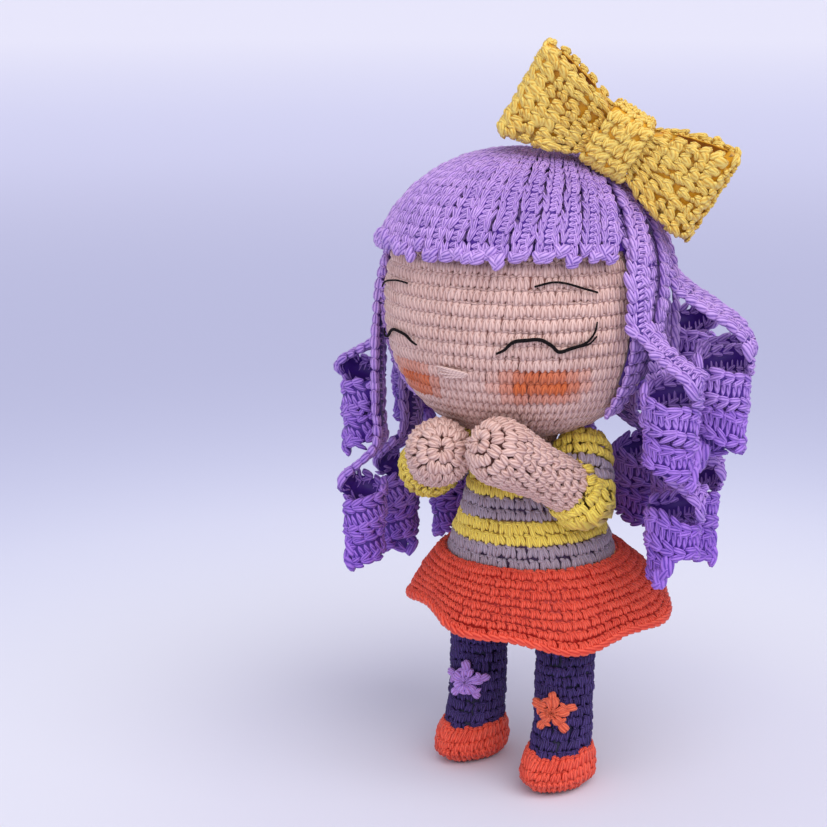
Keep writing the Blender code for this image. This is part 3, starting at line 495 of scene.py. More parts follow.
cheeks = np.maximum(*(blush(head_azimuth, head_elevation, *cheek) for cheek in CHEEKS_DEG))
cheeks = cheeks * np.random.default_rng(4).uniform(0.85, 1.0, len(cheeks))
# The cloth between the stitches is coloured far darker than the skin yarn: painted shade in the gaps and grooves.
skin_gap_painted_shade = yarn("skin_gap_painted_shade", (0.36, 0.15, 0.12), (0.7, 0.6, 0.6), bump=0.0001)
skin_yarn = yarn("skin_yarn", SKIN, (0.50, 0.34, 0.31), BLUSH)
head = make_piece(
    "head_skin",
    [
        cloth_inside(head_point, np.radians(range(-73, 90, 6))),
        lay(head_point, head_cells, TENT_STITCH, 0.0013, 3, cheeks, loose=0.6),
    ],
    [skin_gap_painted_shade, skin_yarn], "head_body", ("head", "head_stuffing"),
)


# Face: closed, smiling eyes with lashes and two brows in black thread, and a nose of a few straight
# pale pink stitches. Each is sewn over the finished head, so its thread lies on the stitches.
THREAD_TURN = 0.0028


def tube_along(points, radii, sides=7):
    """A round thread through points, closed at both ends, with its plies' coordinates."""
    points = np.asarray(points, float)
    ways = unit(np.gradient(points, axis=0))
    side = np.cross(ways[0], (0.31, 0.22, 0.92))
    turns = (np.arange(sides) * math.tau / sides)[:, None]
    rings = []
    for point, way, radius in zip(points, ways, radii):
        side = unit(side - way * side.dot(way))
        rings.append(point + radius * (np.cos(turns) * side + np.sin(turns) * np.cross(way, side)))
    start, end = points[0] - ways[0] * radii[0] * 0.7, points[-1] + ways[-1] * radii[-1] * 0.7
    return closed_rings(rings, start, end, way_along(points) / THREAD_TURN)


def smooth_line(points, per_step):
    """A smooth line through points, as a maker's thread or strip would run."""
    points = np.asarray(points, float)
    before, after = points[:1] * 2 - points[1:2], points[-1:] * 2 - points[-2:-1]
    padded = np.concatenate((before, points, after))
    line = []
    for index in range(1, len(padded) - 2):
        a, b, c, d = padded[index - 1:index + 3]
        once, twice, thrice = c - a, 2 * a - 5 * b + 4 * c - d, 3 * b - a - 3 * c + d
        for step in range(per_step):
            t = step / per_step
            line.append(0.5 * (2 * b + once * t + twice * t ** 2 + thrice * t ** 3))
    line.append(points[-1])
    return np.array(line)


THREAD_RADIUS = {"left": 0.00043, "right": 0.00036}
THREAD_LIFT = 0.0007
EYE_DEG = {
    "left": (
        (18.4, -11.6), (21.5, -10.0), (25.0, -6.8), (30.0, -6.0), (35.2, -5.8), (39.5, -8.0),
        (42.9, -10.8), (47.5, -9.7), (52.6, -8.4), (55.6, -6.4), (57.6, -3.3), (58.3, 0.0),
    ),
    "right": (
        (18.4, -11.6), (21.5, -10.5), (25.0, -8.6), (30.0, -7.9), (35.2, -7.9), (39.5, -9.6),
        (42.9, -11.6), (47.5, -12.8), (53.0, -13.4), (58.0, -13.2), (62.0, -12.2),
    ),
}
LASH_DEG = {
    "left": ((51.4, -9.2), (55.4, -8.2), (58.2, -5.6)),
    "right": ((57.0, -13.2), (60.0, -13.8), (63.0, -13.8)),
}
BROW_DEG = {
    "left": ((33.1, 14.5), (39.8, 16.0), (45.4, 15.5), (52.3, 13.4), (58.7, 11.4)),
    "right": ((24.5, 12.1), (30.0, 12.2), (35.4, 11.8), (47.1, 9.7), (55.0, 6.5)),
}


def on_face(places_deg, lift, side=1):
    """Places on the face, lifted onto the stitches."""
    azimuths, elevations = smooth_line(np.radians(np.asarray(places_deg, float) * (side, 1)), 5).T
    return above_head(azimuths, elevations, lift)


SIDES = ((1, "left"), (-1, "right"))
EYE_THREAD = ((0, 0.2, 0.65, 0.82, 1), (0.65, 1.05, 1.0, 0.62, 0.5))
LASH_THREAD, BROW_THREAD = 0.5, 0.62
BLACK = (0.011, 0.008, 0.009)
black_thread = yarn("black_thread", BLACK, (0.5, 0.5, 0.5), plies=2, turns=3, sheen=0.0, roughness=0.9, specular=0.1)
for side, name in SIDES:
    eye, lash, brow = (on_face(line[name], THREAD_LIFT, side) for line in (EYE_DEG, LASH_DEG, BROW_DEG))
    radius = THREAD_RADIUS[name]
    eye_radii = radius * np.interp(np.linspace(0, 1, len(eye)), *EYE_THREAD)
    eye_threads = [tube_along(eye, eye_radii), tube_along(lash, np.full(len(lash), radius * LASH_THREAD))]
    brow_thread = tube_along(brow, np.full(len(brow), radius * BROW_THREAD))
    make_piece("eye_thread_" + name, eye_threads, [black_thread], "head_body", ("eye_" + name,))
    make_piece("brow_thread_" + name, [brow_thread], [black_thread], "head_body", ("brow_" + name,))

NOSE_RADIUS = 0.00036
NOSE_DEG = (
    (-8.4, 5.6, -18.9, -20.6), (-7.2, 6.1, -20.3, -21.0), (-8.2, 5.4, -21.8, -21.5), (-6.2, 4.4, -23.3, -22.1),
)
pink_thread = yarn("pink_thread", (0.84, 0.61, 0.55), (0.8, 0.7, 0.7), plies=2, turns=3)
threads = []
for left, right, left_up, right_up in NOSE_DEG:
    middle = ((left + right) / 2, (left_up + right_up) / 2)
    line = on_face(((left, left_up), middle, (right, right_up)), THREAD_LIFT * 1.1)
    radii = NOSE_RADIUS * np.sin(np.linspace(0.35, math.pi - 0.35, len(line))) ** 0.5
    threads.append(tube_along(line, radii))
make_piece("nose_stitches", threads, [pink_thread], "head_body", ("nose",))


# Neck: a few rounds of skin-coloured single crochet between the collar and the head.
NECK_RADIUS = 0.009
COLLAR_Z = 0.084


def neck_point(angle, z):
    centre = DOLL_PLACE + (0, -HEAD_FORWARD, 0)
    return centre + np.stack((NECK_RADIUS * np.sin(angle), -NECK_RADIUS * np.cos(angle), z), -1)


neck_cells = ring_cells(neck_point, (COLLAR_Z - 0.001, COLLAR_Z + 0.0018, COLLAR_Z + 0.0046), 0.0029)
neck = make_piece(
    "neck_rounds", [cloth_under("neck", 0.0007), lay(neck_point, neck_cells, TENT_STITCH, 0.0009, 5, sink=0.0006)],
    [skin_gap_painted_shade, skin_yarn], "neck_body", ("neck",),
)


# Torso: the striped shirt, two rounds of yellow and two of grey by turns, stuffed.
HIP_Z = 0.048
TORSO_HEIGHT, WAIST_RADIUS, WAIST_BACK = 0.036, 0.021, 0.003
TORSO_SHARES = np.array((
    (0.000, 0.72, 0.72), (0.025, 0.88, 0.88), (0.105, 0.97, 0.97), (0.260, 1.000, 1.000), (0.420, 0.905, 0.965),
    (0.530, 0.795, 0.920), (0.640, 0.710, 0.860), (0.760, 0.630, 0.790), (0.870, 0.565, 0.690), (0.950, 0.520, 0.570),
    (1.000, 0.514, 0.514),
))
WAIST_SHARE = 0.26


def torso_middle(share):
    lean = np.clip((share - WAIST_SHARE) / (1 - WAIST_SHARE), 0, 1)
    lean = lean * lean * (3 - 2 * lean)
    return WAIST_BACK * (1 - lean) - HEAD_FORWARD * lean


def read_shares(table, share):
    """A table's other columns, read where its first column has this share."""
    return [np.interp(share, table[:, 0], column) for column in table[:, 1:].T]


def torso_halves(share):
    """Half the torso's width and half its depth at a share of its height."""
    return [WAIST_RADIUS * half for half in read_shares(TORSO_SHARES, share)]


def torso_point(angle, share):
    wide, deep = torso_halves(share)
    y = torso_middle(share) - deep * np.cos(angle)
    return DOLL_PLACE + np.stack((wide * np.sin(angle), y, HIP_Z + TORSO_HEIGHT * share), -1)


def grey_rows(shares):
    """Which rounds of the shirt are grey, by share of its height."""
    row = np.round(np.asarray(shares) * SHIRT_ROWS - 0.5).astype(int)
    return ((row + 1) // 2 % 2 == 0).astype(float)


SHIRT_ROWS = 12
shirt_cells = even_rounds(torso_point, 1, SHIRT_ROWS, 0.0027)
cloth_levels = np.linspace(0.01, 0.96, 58)
# The sunk cloth between the stitches follows the stripes. Its colours are painted shade, far darker than the yarn:
# deep mustard under the yellow rows and near black under the grey.
under_shirt = list(cloth_inside(torso_point, cloth_levels, 0.0010))
under_shirt[5] = np.append(np.repeat(grey_rows(cloth_levels), CLOTH_SIDES), (0, 0))
GREY, YELLOW = (0.44, 0.36, 0.45), (1.0, 0.80, 0.13)
shirt_gap_painted_shade = yarn("shirt_gap_painted_shade", (0.46, 0.27, 0.05), (0.7, 0.7, 0.7), (0.055, 0.02, 0.075), bump=0.0001)
shirt_yarn = yarn("shirt_yarn", YELLOW, (0.62, 0.48, 0.42), GREY)
torso = make_piece(
    "shirt",
    [under_shirt, lay(torso_point, shirt_cells, BEAD_STITCH, 0.0013, 7, grey_rows([cell[1] for cell in shirt_cells]))],
    [shirt_gap_painted_shade, shirt_yarn], "body", ("torso", "torso_stuffing"),
)


# Skirt: orange-red single crochet worked off the waist and widened every round, so that it waves
# in soft folds, with a chain-stitch edge along its hem.
SKIRT_LENGTH, SKIRT_RADIUS, SKIRT_FOLD, SKIRT_FOLDS = 0.0165, 0.032, 0.0012, 7
SKIRT_SHARE, FABRIC, SEAM = 0.27, 0.0015, 0.0003
SKIRT_LIFT, SKIRT_LOW_DEG, SKIRT_SWING = 0.005, 42, 0.0026
FLARE_SHARES = np.array(((0, 0), (0.18, 0.24), (0.40, 0.50), (0.70, 0.79), (1, 1)))


def skirt_point(angle, share, inset=0.0):
    """The skirt by angle and by share of its length up from the hem."""
    down = 1 - share
    top = WAIST_RADIUS + SEAM + FABRIC
    radius = top + (SKIRT_RADIUS - top) * read_shares(FLARE_SHARES, down)[0]
    wave = SKIRT_FOLD * np.clip(down, 0, 1.1) ** 2 * np.cos(SKIRT_FOLDS * angle + 1)
    reach = radius + wave - inset
    low = math.radians(SKIRT_LOW_DEG)
    z = HIP_Z + TORSO_HEIGHT * SKIRT_SHARE - SKIRT_LENGTH * down - wave / 2
    z = z + SKIRT_LIFT * down * np.sin(angle - low) ** 2
    x = SKIRT_SWING * down * math.cos(low) + reach * np.sin(angle)
    y = torso_middle(SKIRT_SHARE) + SKIRT_SWING * down * math.sin(low) - reach * np.cos(angle)
    return DOLL_PLACE + np.stack((x, y, z), -1)


def skirt_lining(angle, share):
    return skirt_point(-angle, share, FABRIC)


SKIRT_ROWS = 8
skirt_levels = (np.arange(SKIRT_ROWS) + 0.5) / SKIRT_ROWS
# The cloth under the skirt's and the shoes' stitches is a much deeper red than the yarn: painted shade in the gaps.
coral_gap_painted_shade = yarn("coral_gap_painted_shade", (0.46, 0.012, 0.006), (0.8, 0.7, 0.7), bump=0.0001)
coral_yarn = yarn("coral_yarn", (0.87, 0.108, 0.058), (0.52, 0.02, 0.02), sheen=0.05)
skirt_cells = ring_cells(skirt_point, skirt_levels, 0.90 / SKIRT_ROWS, 0.0025)
lining_cells = even_rounds(skirt_lining, 1, SKIRT_ROWS, 0.0026)
skirt_parts = [
    lay(skirt_point, skirt_cells, BEAD_STITCH, 0.0012, 9, sink=0.0005),
    lay(skirt_lining, lining_cells, BEAD_STITCH, 0.0008, 10, sink=0.0004),
]
HEM_STITCHES, HEM_ROLL = 96, 0.0009
hem_step = math.tau / HEM_STITCHES
HEM_STITCH = stitch("hem", (((-0.90, 0.36, 0.1), (0.90, -0.42, 0.3), 0.52, 1.0),))


def hem_point(angle, across):
    """A narrow band that rolls round the hem's edge, from the outside to the inside."""
    outside, inside = (skirt_point(angle, np.zeros_like(angle), inset) for inset in (0.0, FABRIC))
    out = (outside - inside) / FABRIC * (HEM_ROLL * 1.2 * np.sin(math.pi / 2 * (1 - across)))[..., None]
    drop = np.array((0, 0, 1)) * (HEM_ROLL * 0.9 * (1 - across))[..., None]
    return (outside + inside) / 2 + out - drop


hem_cells = [(index * hem_step, 0.55, hem_step, 1.1) for index in range(HEM_STITCHES)]
skirt_parts.append(lay(hem_point, hem_cells, HEM_STITCH, 0.0011, 11, sink=0.0002, loose=0.5))
skirt_stitches = make_piece("skirt_stitches", skirt_parts, [coral_yarn], "body", ())
skirt = make_piece("skirt_cloth", [cloth_under("skirt", 0.00045)], [coral_gap_painted_shade], "body", ("skirt",))


# Legs: navy tubes, worked up from the foot and stuffed. Each has one small star in another colour.
LEG_RADIUS, LEG_SPREAD, STRIDE, LEG_FORWARD = 0.0073, 0.013, 0.0015, 0.001
SHOE_HEIGHT, SHOE_HALF_WIDTH, SHOE_TOE, SHOE_HEEL = 0.0095, 0.0088, 0.0152, 0.0088
FOOT_STEP = {"left": (0, 0.0016), "right": (0.0026, -0.002)}
LEG_ROW = 0.0026
LEG_DOME_Z = HIP_Z - SEAM - LEG_RADIUS
INSTEP, INSTEP_Z = 0.0036, 0.0175


def on_leg(side, name, z, out, forward):
    """A place beside a leg's middle at a height. The leg leans from its hip to its foot on the floor."""
    step_out, step_forward = FOOT_STEP[name]
    share = np.maximum(0, 1 - z / LEG_DOME_Z)
    x = side * (LEG_SPREAD + step_out * share)
    y = -LEG_FORWARD - side * STRIDE - step_forward * share
    return DOLL_PLACE + np.stack((x + out, y - forward, z), -1)


# The cloth between the legging's stitches is near black: painted shade in the gaps.
navy_gap_painted_shade = yarn("navy_gap_painted_shade", (0.010, 0.007, 0.045), (0.6, 0.6, 0.6), sheen=0.0, bump=0.0001)
navy_yarn = yarn("navy_yarn", (0.078, 0.048, 0.200), (0.02, 0.01, 0.05), sheen=0.0, specular=0.15)
for side, name in SIDES:
    def leg_point(angle, z, side=side, name=name):
        dome = np.clip((z - LEG_DOME_Z) / LEG_RADIUS, 0, 0.999)
        reach = LEG_RADIUS * np.sqrt(1 - dome * dome)
        instep = np.clip((INSTEP_Z - z) / (INSTEP_Z - SHOE_HEIGHT), 0, 1.2) ** 1.5 * np.maximum(np.cos(angle), 0)
        return on_leg(side, name, z, reach * np.sin(angle), reach * np.cos(angle) + INSTEP * instep)

    cells = ring_cells(leg_point, np.arange(SHOE_HEIGHT + 0.0004, 0.045, LEG_ROW), LEG_ROW, 0.0026)
    leg = make_piece(
        "legging_" + name,
        [
            cloth_inside(leg_point, np.linspace(0.008, 0.0468, 18), sides=24),
            lay(leg_point, cells, BEAD_STITCH, 0.0012, 13 + side, loose=1.4),
        ],
        [navy_gap_painted_shade, navy_yarn], "leg_body_" + name, ("leg_" + name, "leg_stuffing_" + name),
    )


# Stars: five short points of two or three stitches round a small middle, sewn on the shins.
STARS = {"left": (1, 0.43, (0.86, 0.16, 0.07), "coral"), "right": (-1, 0.46, (0.50, 0.30, 0.82), "violet_star")}
STAR_TIP = stitch("star tip", (
    ((-0.16, -0.50, 0.24), (-0.08, 0.40, 0.06), 0.26, 0.74),
    ((0.20, -0.46, 0.16), (0.10, 0.52, 0.02), 0.24, 0.70),
))
STAR_TURN, STAR_LIFT = math.radians(8), 0.0009
STAR_ROUNDS = (
    (0.6, 0.0007, 1.3, 0.0016, BEAD_STITCH, 0.0013, 17, -0.0003),
    (0, 0.0024, 1.2, 0.0028, BEAD_STITCH, 0.0013, 19, -0.0001),
    (0, 0.0043, 0.62, 0.0026, STAR_TIP, 0.0012, 21, 0.0),
)
for name, (side, height_share, colour, slot_name) in STARS.items():
    def star_point(across, out, side=side, name=name, star_z=HIP_Z * height_share):
        """A star's own surface on the shin: across is the turn about its middle, and out the way from it."""
        angle = out * np.sin(across) / LEG_RADIUS + STAR_TURN
        reach = LEG_RADIUS + STAR_LIFT
        return on_leg(side, name, star_z + out * np.cos(across), reach * np.sin(angle), reach * np.cos(angle))

    star_yarn = yarn("star_yarn_" + name, colour, (0.66, 0.36, 0.46))
    star = []
    for turn, out, wide, high, shape, depth, seed, sink in STAR_ROUNDS:
        cells = [(point * math.tau / 5 + turn, out, wide, high) for point in range(5)]
        star.append(lay(star_point, cells, shape, depth, seed + side, sink=sink))
    make_piece("star_" + name, star, [star_yarn], "leg_body_" + name, ("patch_" + name,))


# Shoes: orange cups worked from the sole up, with a round toe and a flat sole. The last round's
# stitches reach up over the legging.
SHOE_SHARES = np.array((
    (0.00, 0.70, 0.66, 0.70), (0.16, 0.92, 0.88, 0.92), (0.42, 1.00, 1.00, 1.00), (0.72, 0.97, 0.94, 0.97),
    (1.00, 0.949, 0.79, 0.949), (1.30, 0.90, 0.70, 0.90),
))
SOLE_LIFT = 0.0005
SHOE_LEVELS = (-1.9, -1.4, -0.9, -0.4, 0, 0.15, 0.3, 0.5, 0.7, 0.85, 1)
SHOE_ROUNDS = (((0.12, 0.38, 0.64), 0.27, 0.0028), ((0.93,), 0.34, 0.0029), ((-0.3, -0.85, -1.4), 0.5, STITCH_WIDTH))
for side, name in SIDES:
    def shoe_point(angle, share, side=side, name=name):
        """The shoe by angle and by share of its height. Below 0 it is the sole, in towards its middle."""
        inward = np.clip(1 + share / 2, 0.02, 1)
        wide, toe, heel = read_shares(SHOE_SHARES, share)
        along = np.cos(angle)
        reach = np.where(along > 0, SHOE_TOE * toe, SHOE_HEEL * heel) * inward
        z = SOLE_LIFT + (SHOE_HEIGHT - SOLE_LIFT) * np.clip(share, 0, 1.3)
        return on_leg(side, name, z, SHOE_HALF_WIDTH * wide * inward * np.sin(angle), reach * along)

    cells = [cell for levels, height, width in SHOE_ROUNDS for cell in ring_cells(shoe_point, levels, height, width)]
    shoe = make_piece(
        "bootee_" + name,
        [
            cloth_inside(shoe_point, SHOE_LEVELS, 0.0009),
            lay(shoe_point, cells, TENT_STITCH, 0.0013, 23 + side, loose=1.3),
        ],
        [coral_gap_painted_shade, coral_yarn], "leg_body_" + name, ("shoe_" + name,),
    )


# Sleeves and forearms: each arm is one stuffed tube, striped to the elbow and skin-coloured from
# there. It is bent sharply at the elbow and sewn to the shirt at the shoulder.
ARM_RADIUS, UPPER_ARM, CUFF, FOREARM = 0.0061, 0.0092, 0.0045, 0.0355
WRIST_RADIUS, HAND_RADIUS = 0.0052, 0.0067
SHOULDER = (0.0168, -0.003, 0.0836)
UPPER_ARM_AIM = {"left": (0.25, 0.52, -0.82), "right": (0.60, 0.54, -0.60)}
HAND_AIM = {"left": (-0.31, 0.82, 0.48), "right": (-0.53, 0.78, 0.33)}
SIDEWAYS = np.array((1.0, 0, 0))
GREY_ROUNDS = (4, 5)


def read_along(line, values, v):
    """Columns of values, read at distances along a line."""
    return np.stack([np.interp(v, line, column) for column in values.T], -1)


def swept_tube(points, radii, side_way):
    """A tube's surface by angle round it and by distance along it, smooth through its points."""
    line = smooth_line(np.column_stack((points, radii)), 12)
    middle, reach = line[:, :3], np.maximum(line[:, 3], 1e-5)
    ways = unit(np.gradient(middle, axis=0))
    across = unit(side_way - ways * (ways @ side_way)[:, None])
    over = np.cross(across, ways)
    along = way_along(np.column_stack((middle, reach)))

    def point(angle, v):
        here, sideways, outwards = (read_along(along, values, v) for values in (middle, across, over))
        spoke = np.cos(angle)[..., None] * sideways + np.sin(angle)[..., None] * outwards
        return here + np.interp(v, along, reach)[..., None] * spoke

    return point, along[-1]


SHIRT_CLEARANCE, SHIRT_DEPTH_CLEARANCE = 0.0014, 0.0006


def clear_of_shirt(place, side):
    """Press the arm's inner side flat against the shirt."""
    x, y, z = ((place - DOLL_PLACE)[..., index] for index in range(3))
    share = np.clip((z - HIP_Z) / TORSO_HEIGHT, 0, 1)
    wide, deep = torso_halves(share)
    offset = np.clip((y - torso_middle(share)) / (deep + SHIRT_DEPTH_CLEARANCE), -1, 1)
    least = (wide + SHIRT_CLEARANCE) * np.sqrt(1 - offset * offset)
    least = np.where(z > COLLAR_Z + 0.001, 0, least)
    x = np.where((abs(offset) < 1) & (side * x < least), side * least, x)
    return DOLL_PLACE + np.stack((x, y, z), -1)


for side, name in SIDES:
    shoulder = DOLL_PLACE + np.array(SHOULDER) * (side, 1, 1)
    down_arm, aim = (unit(np.array(way[name]) * (side, -1, 1)) for way in (UPPER_ARM_AIM, HAND_AIM))
    elbow = shoulder + down_arm * UPPER_ARM
    crown_of_cap = shoulder - down_arm * ARM_RADIUS
    corner = elbow + unit(down_arm - aim) * ARM_RADIUS * 0.30
    cuff_end = elbow + aim * CUFF
    points = [crown_of_cap, crown_of_cap + down_arm * ARM_RADIUS * 0.16, crown_of_cap + down_arm * ARM_RADIUS * 0.55]
    points += [shoulder, (shoulder + elbow) / 2, corner, cuff_end - aim * 0.001, cuff_end + aim * 0.0012]
    radii = [0.0003, ARM_RADIUS * 0.56, ARM_RADIUS * 0.90]
    radii += [ARM_RADIUS, ARM_RADIUS, ARM_RADIUS * 1.02, WRIST_RADIUS * 1.18, WRIST_RADIUS * 1.10]
    sleeve_tube, sleeve_length = swept_tube(points, radii, SIDEWAYS)

    def sleeve_point(angle, v, tube=sleeve_tube, side=side):
        return clear_of_shirt(tube(angle, v), side)

    rows = round(sleeve_length / 0.0028)
    cells = even_rounds(sleeve_point, sleeve_length, rows, 0.0028)
    row_of = np.round(np.array([cell[1] for cell in cells]) / sleeve_length * rows - 0.5).astype(int)
    bands = np.isin(row_of, GREY_ROUNDS).astype(float)
    stitches = lay(sleeve_point, cells, BEAD_STITCH, 0.0013, 29 + side, bands, loose=1.3)
    sleeve = make_piece(
        "striped_sleeve_" + name, [cloth_under("sleeve_" + name, 0.0009), stitches],
        [shirt_gap_painted_shade, shirt_yarn], "arm_body_" + name, ("sleeve_" + name,),
    )

    reach = FOREARM - CUFF - HAND_RADIUS
    start = cuff_end + aim * SEAM
    points = [start + aim * reach * share for share in (0, 0.35, 0.70, 1)]
    points += [points[-1] + aim * HAND_RADIUS * share for share in (0.5, 0.87, 1.0)]
    radii = [WRIST_RADIUS, WRIST_RADIUS, (WRIST_RADIUS + HAND_RADIUS) / 2, HAND_RADIUS]
    radii += [HAND_RADIUS * 0.87, HAND_RADIUS * 0.5, 0.0003]
    arm_tube, arm_length = swept_tube(points, radii, SIDEWAYS)
    cells = even_rounds(arm_tube, arm_length, round(arm_length / 0.0027), 0.0028)
    stitches = lay(arm_tube, cells, VEE_STITCH, 0.0014, 33 + side, sink=0.0007)
    forearm = make_piece(
        "hand_and_forearm_" + name, [cloth_under("forearm_" + name, 0.0009), stitches],
        [skin_gap_painted_shade, skin_yarn], "arm_body_" + name, ("forearm_" + name,),
    )


# Wig cap: the purple base that the hair is worked from, over the crown and the back of the head.
STRIP_WIDTH, STRIP_THICKNESS = 0.0064, 0.0022
WIG_HEIGHT = 0.0017
LAY_HEIGHT = WIG_HEIGHT + 0.00045 + STRIP_THICKNESS / 2
FRINGE_RISE = 0.0138
# The hair yarn's colour, its painted ply shade, and a deeper violet that the locks take on as painted shade.
HAIR_LIGHT, HAIR_PLY_SHADE, HAIR_PAINTED_SHADE = (0.66, 0.42, 0.88), (0.10, 0.012, 0.38), (0.30, 0.095, 0.72)


def cap_point(azimuth, elevation):
    return above_head(azimuth, elevation, WIG_HEIGHT - 0.0004)


# The cloth under the wig cap's stitches and in the middle of each strip is a far deeper purple than the yarn: painted
# shade in the gaps between stitches and strips.
hair_gap_painted_shade = yarn("hair_gap_painted_shade", (0.08, 0.014, 0.33), (0.6, 0.6, 0.6), bump=0.0001)
hair_yarn = yarn("hair_yarn", HAIR_LIGHT, HAIR_PLY_SHADE, HAIR_PAINTED_SHADE, sheen=0.05, specular=0.3)
cap_levels = np.arange(math.radians(60), math.radians(-27), -row_step)


def on_cap(azimuth, elevation):
    return abs(wrapped_deg(azimuth)) > 80 or math.degrees(elevation) > 29


cap_cells = ring_cells(cap_point, cap_levels, row_step, keep=on_cap)
cap_stitches = [lay(cap_point, cap_cells, BEAD_STITCH, 0.0009, 37, sink=0.0003)]
edge_cells = [(column * 0.5, (row + 0.5) * 0.0028, 0.5, 0.0028) for column in (-0.5, 0.5) for row in range(15)]
for side in (1, -1):
    def edge_point(across, down, side=side):
        """The chain edge down the front of the cap, beside the face."""
        azimuth = side * (math.radians(79.5) + across * 0.0062 / HEAD_RADIUS)
        return cap_point(azimuth, math.radians(30) - down / HEAD_RADIUS)

    cap_stitches.append(lay(edge_point, edge_cells, BEAD_STITCH, -0.0014 * side, 38, sink=0.0006 * side))
make_piece(
    "wig_base", [cloth_under("wig_cap", 0.0002), *cap_stitches],
    [hair_gap_painted_shade, hair_yarn], "head_body", ("wig_cap",),
)


# Fringe: short crocheted strips side by side from the crown to the forehead. A strip has a chain
# of stitches along each edge and bars between them, and its end is a small knot of stitches.
CROWN_BACK, CROWN_RING = 0.013, 0.0042
FRINGE_COUNT, FRINGE_SPAN_DEG = 15, 126
LOCK_COUNT, LOCK_SPAN_DEG = 18, 209
LEAVE_DEG = (14, -3)
STRIP_STITCH, STRIP_BULGE = 0.0028, 0.0002
BAND_SHARE, BAND_THICKNESS = 0.80, 0.0009
STRIP_DEPTH, END_KNOT_DEPTH = STRIP_THICKNESS / 2 * 1.3, STRIP_THICKNESS / 2 * 1.7
STRIP_STITCHES = stitch("strip", (
    ((-0.50, -0.56, -0.20), (-0.36, 0.54, 0.26), 0.115, 0.76, -0.03),
    ((-0.21, -0.56, -0.20), (-0.31, 0.54, 0.26), 0.105, 0.76, -0.03),
    ((0.50, -0.56, -0.20), (0.36, 0.54, 0.26), 0.115, 0.76, -0.03),
    ((0.21, -0.56, -0.20), (0.31, 0.54, 0.26), 0.105, 0.76, -0.03),
    ((-0.17, -0.36, -0.12), (0.15, -0.12, 0.10), 0.19, 0.66),
    ((-0.15, 0.12, -0.12), (0.17, 0.36, 0.10), 0.19, 0.66),
))
KNOT_STITCHES = stitch("end knot", (
    ((-0.42, -0.30, 0.20), (0.24, 0.26, 0.40), 0.30, 0.80),
    ((0.40, -0.34, 0.10), (0.02, 0.46, 0.20), 0.27, 0.76),
    ((-0.44, 0.02, 0.00), (0.36, 0.44, -0.10), 0.26, 0.70),
))


def facing(azimuth_deg, elevation_deg):
    return way_to(math.radians(azimuth_deg), math.radians(elevation_deg))


CROWN = facing(180, 90 - math.degrees(CROWN_BACK / HEAD_RADIUS))


def over_head(direction, height):
    """The point over the head's skin in a direction from its centre, and the way out of the skin there."""
    azimuth = np.array([math.atan2(direction[0], -direction[1])])
    elevation = np.array([math.asin(max(-1.0, min(1.0, direction[2])))])
    normal = surface_normals(head_point, azimuth, elevation)[0]
    return head_point(azimuth, elevation)[0] + normal * height, normal


def turn_between(one, other):
    one, other = np.cross(CROWN, one), np.cross(CROWN, other)
    return math.acos(np.clip(unit(one).dot(unit(other)), -1, 1))


def spread_out(middle, span, count):
    """Even places over a span on both sides of its middle."""
    return [middle - span / 2 + span / (count - 1) * index for index in range(count)]


fringe_rise_deg = math.degrees(math.asin(FRINGE_RISE / HEAD_RADIUS))
lock_azimuths = spread_out(180, LOCK_SPAN_DEG, LOCK_COUNT)
strip_ends = [facing(azimuth, fringe_rise_deg) for azimuth in spread_out(0, FRINGE_SPAN_DEG, FRINGE_COUNT)]
strip_ends += [facing(azimuth, LEAVE_DEG[index % 2]) for index, azimuth in enumerate(lock_azimuths)]


def laid_strip(index, step_deg=6):
    """Middle line, way out and half widths of a strip as it lies over the head."""
    end = strip_ends[index]
    beside = (strip_ends[index - 1], strip_ends[(index + 1) % len(strip_ends)])
    turn = min(turn_between(end, other) for other in beside)
    whole = math.acos(CROWN.dot(end))
    first = CROWN_RING / HEAD_RADIUS
    steps = max(2, math.ceil(math.degrees(whole - first) / step_deg))
    middle, outs, halves = [], [], []
    for angle in np.linspace(first, whole, steps + 1):
        direction = (CROWN * math.sin(whole - angle) + end * math.sin(angle)) / math.sin(whole)
        point, normal = over_head(direction, LAY_HEIGHT)
        room = turn * math.sin(angle) * (HEAD_RADIUS + LAY_HEIGHT) / 2 - SEAM
        middle.append(point)
        outs.append(normal)
        halves.append(min(STRIP_WIDTH / 2, room))
    return middle, outs, halves


def strip_surface(middle, outs, halves):
    """A strip's own surface: u across it, from -1/2 to 1/2, and v the distance along it."""
    line = smooth_line(np.column_stack((middle, outs, halves)), 6)
    places, normals, wide = line[:, :3], line[:, 3:6], line[:, 6]
    ways = unit(np.gradient(places, axis=0))
    normals = unit(normals - ways * (normals * ways).sum(1, keepdims=True))
    across = np.cross(ways, normals)
    along = way_along(places)

    def point(u, v):
        here, sideways, outwards = (read_along(along, values, v) for values in (places, across, normals))
        spread = np.interp(v, along, wide) * 2 * u
        past = np.where(v > along[-1], v - along[-1], np.minimum(v, 0))
        end = np.where((v > along[-1])[..., None], ways[-1], ways[0])
        crowned = STRIP_BULGE * np.clip(1 - 4 * u * u, -0.3, 1)
        return here + sideways * spread[..., None] + outwards * crowned[..., None] + end * past[..., None]

    return point, along[-1], (places, normals, across, wide)


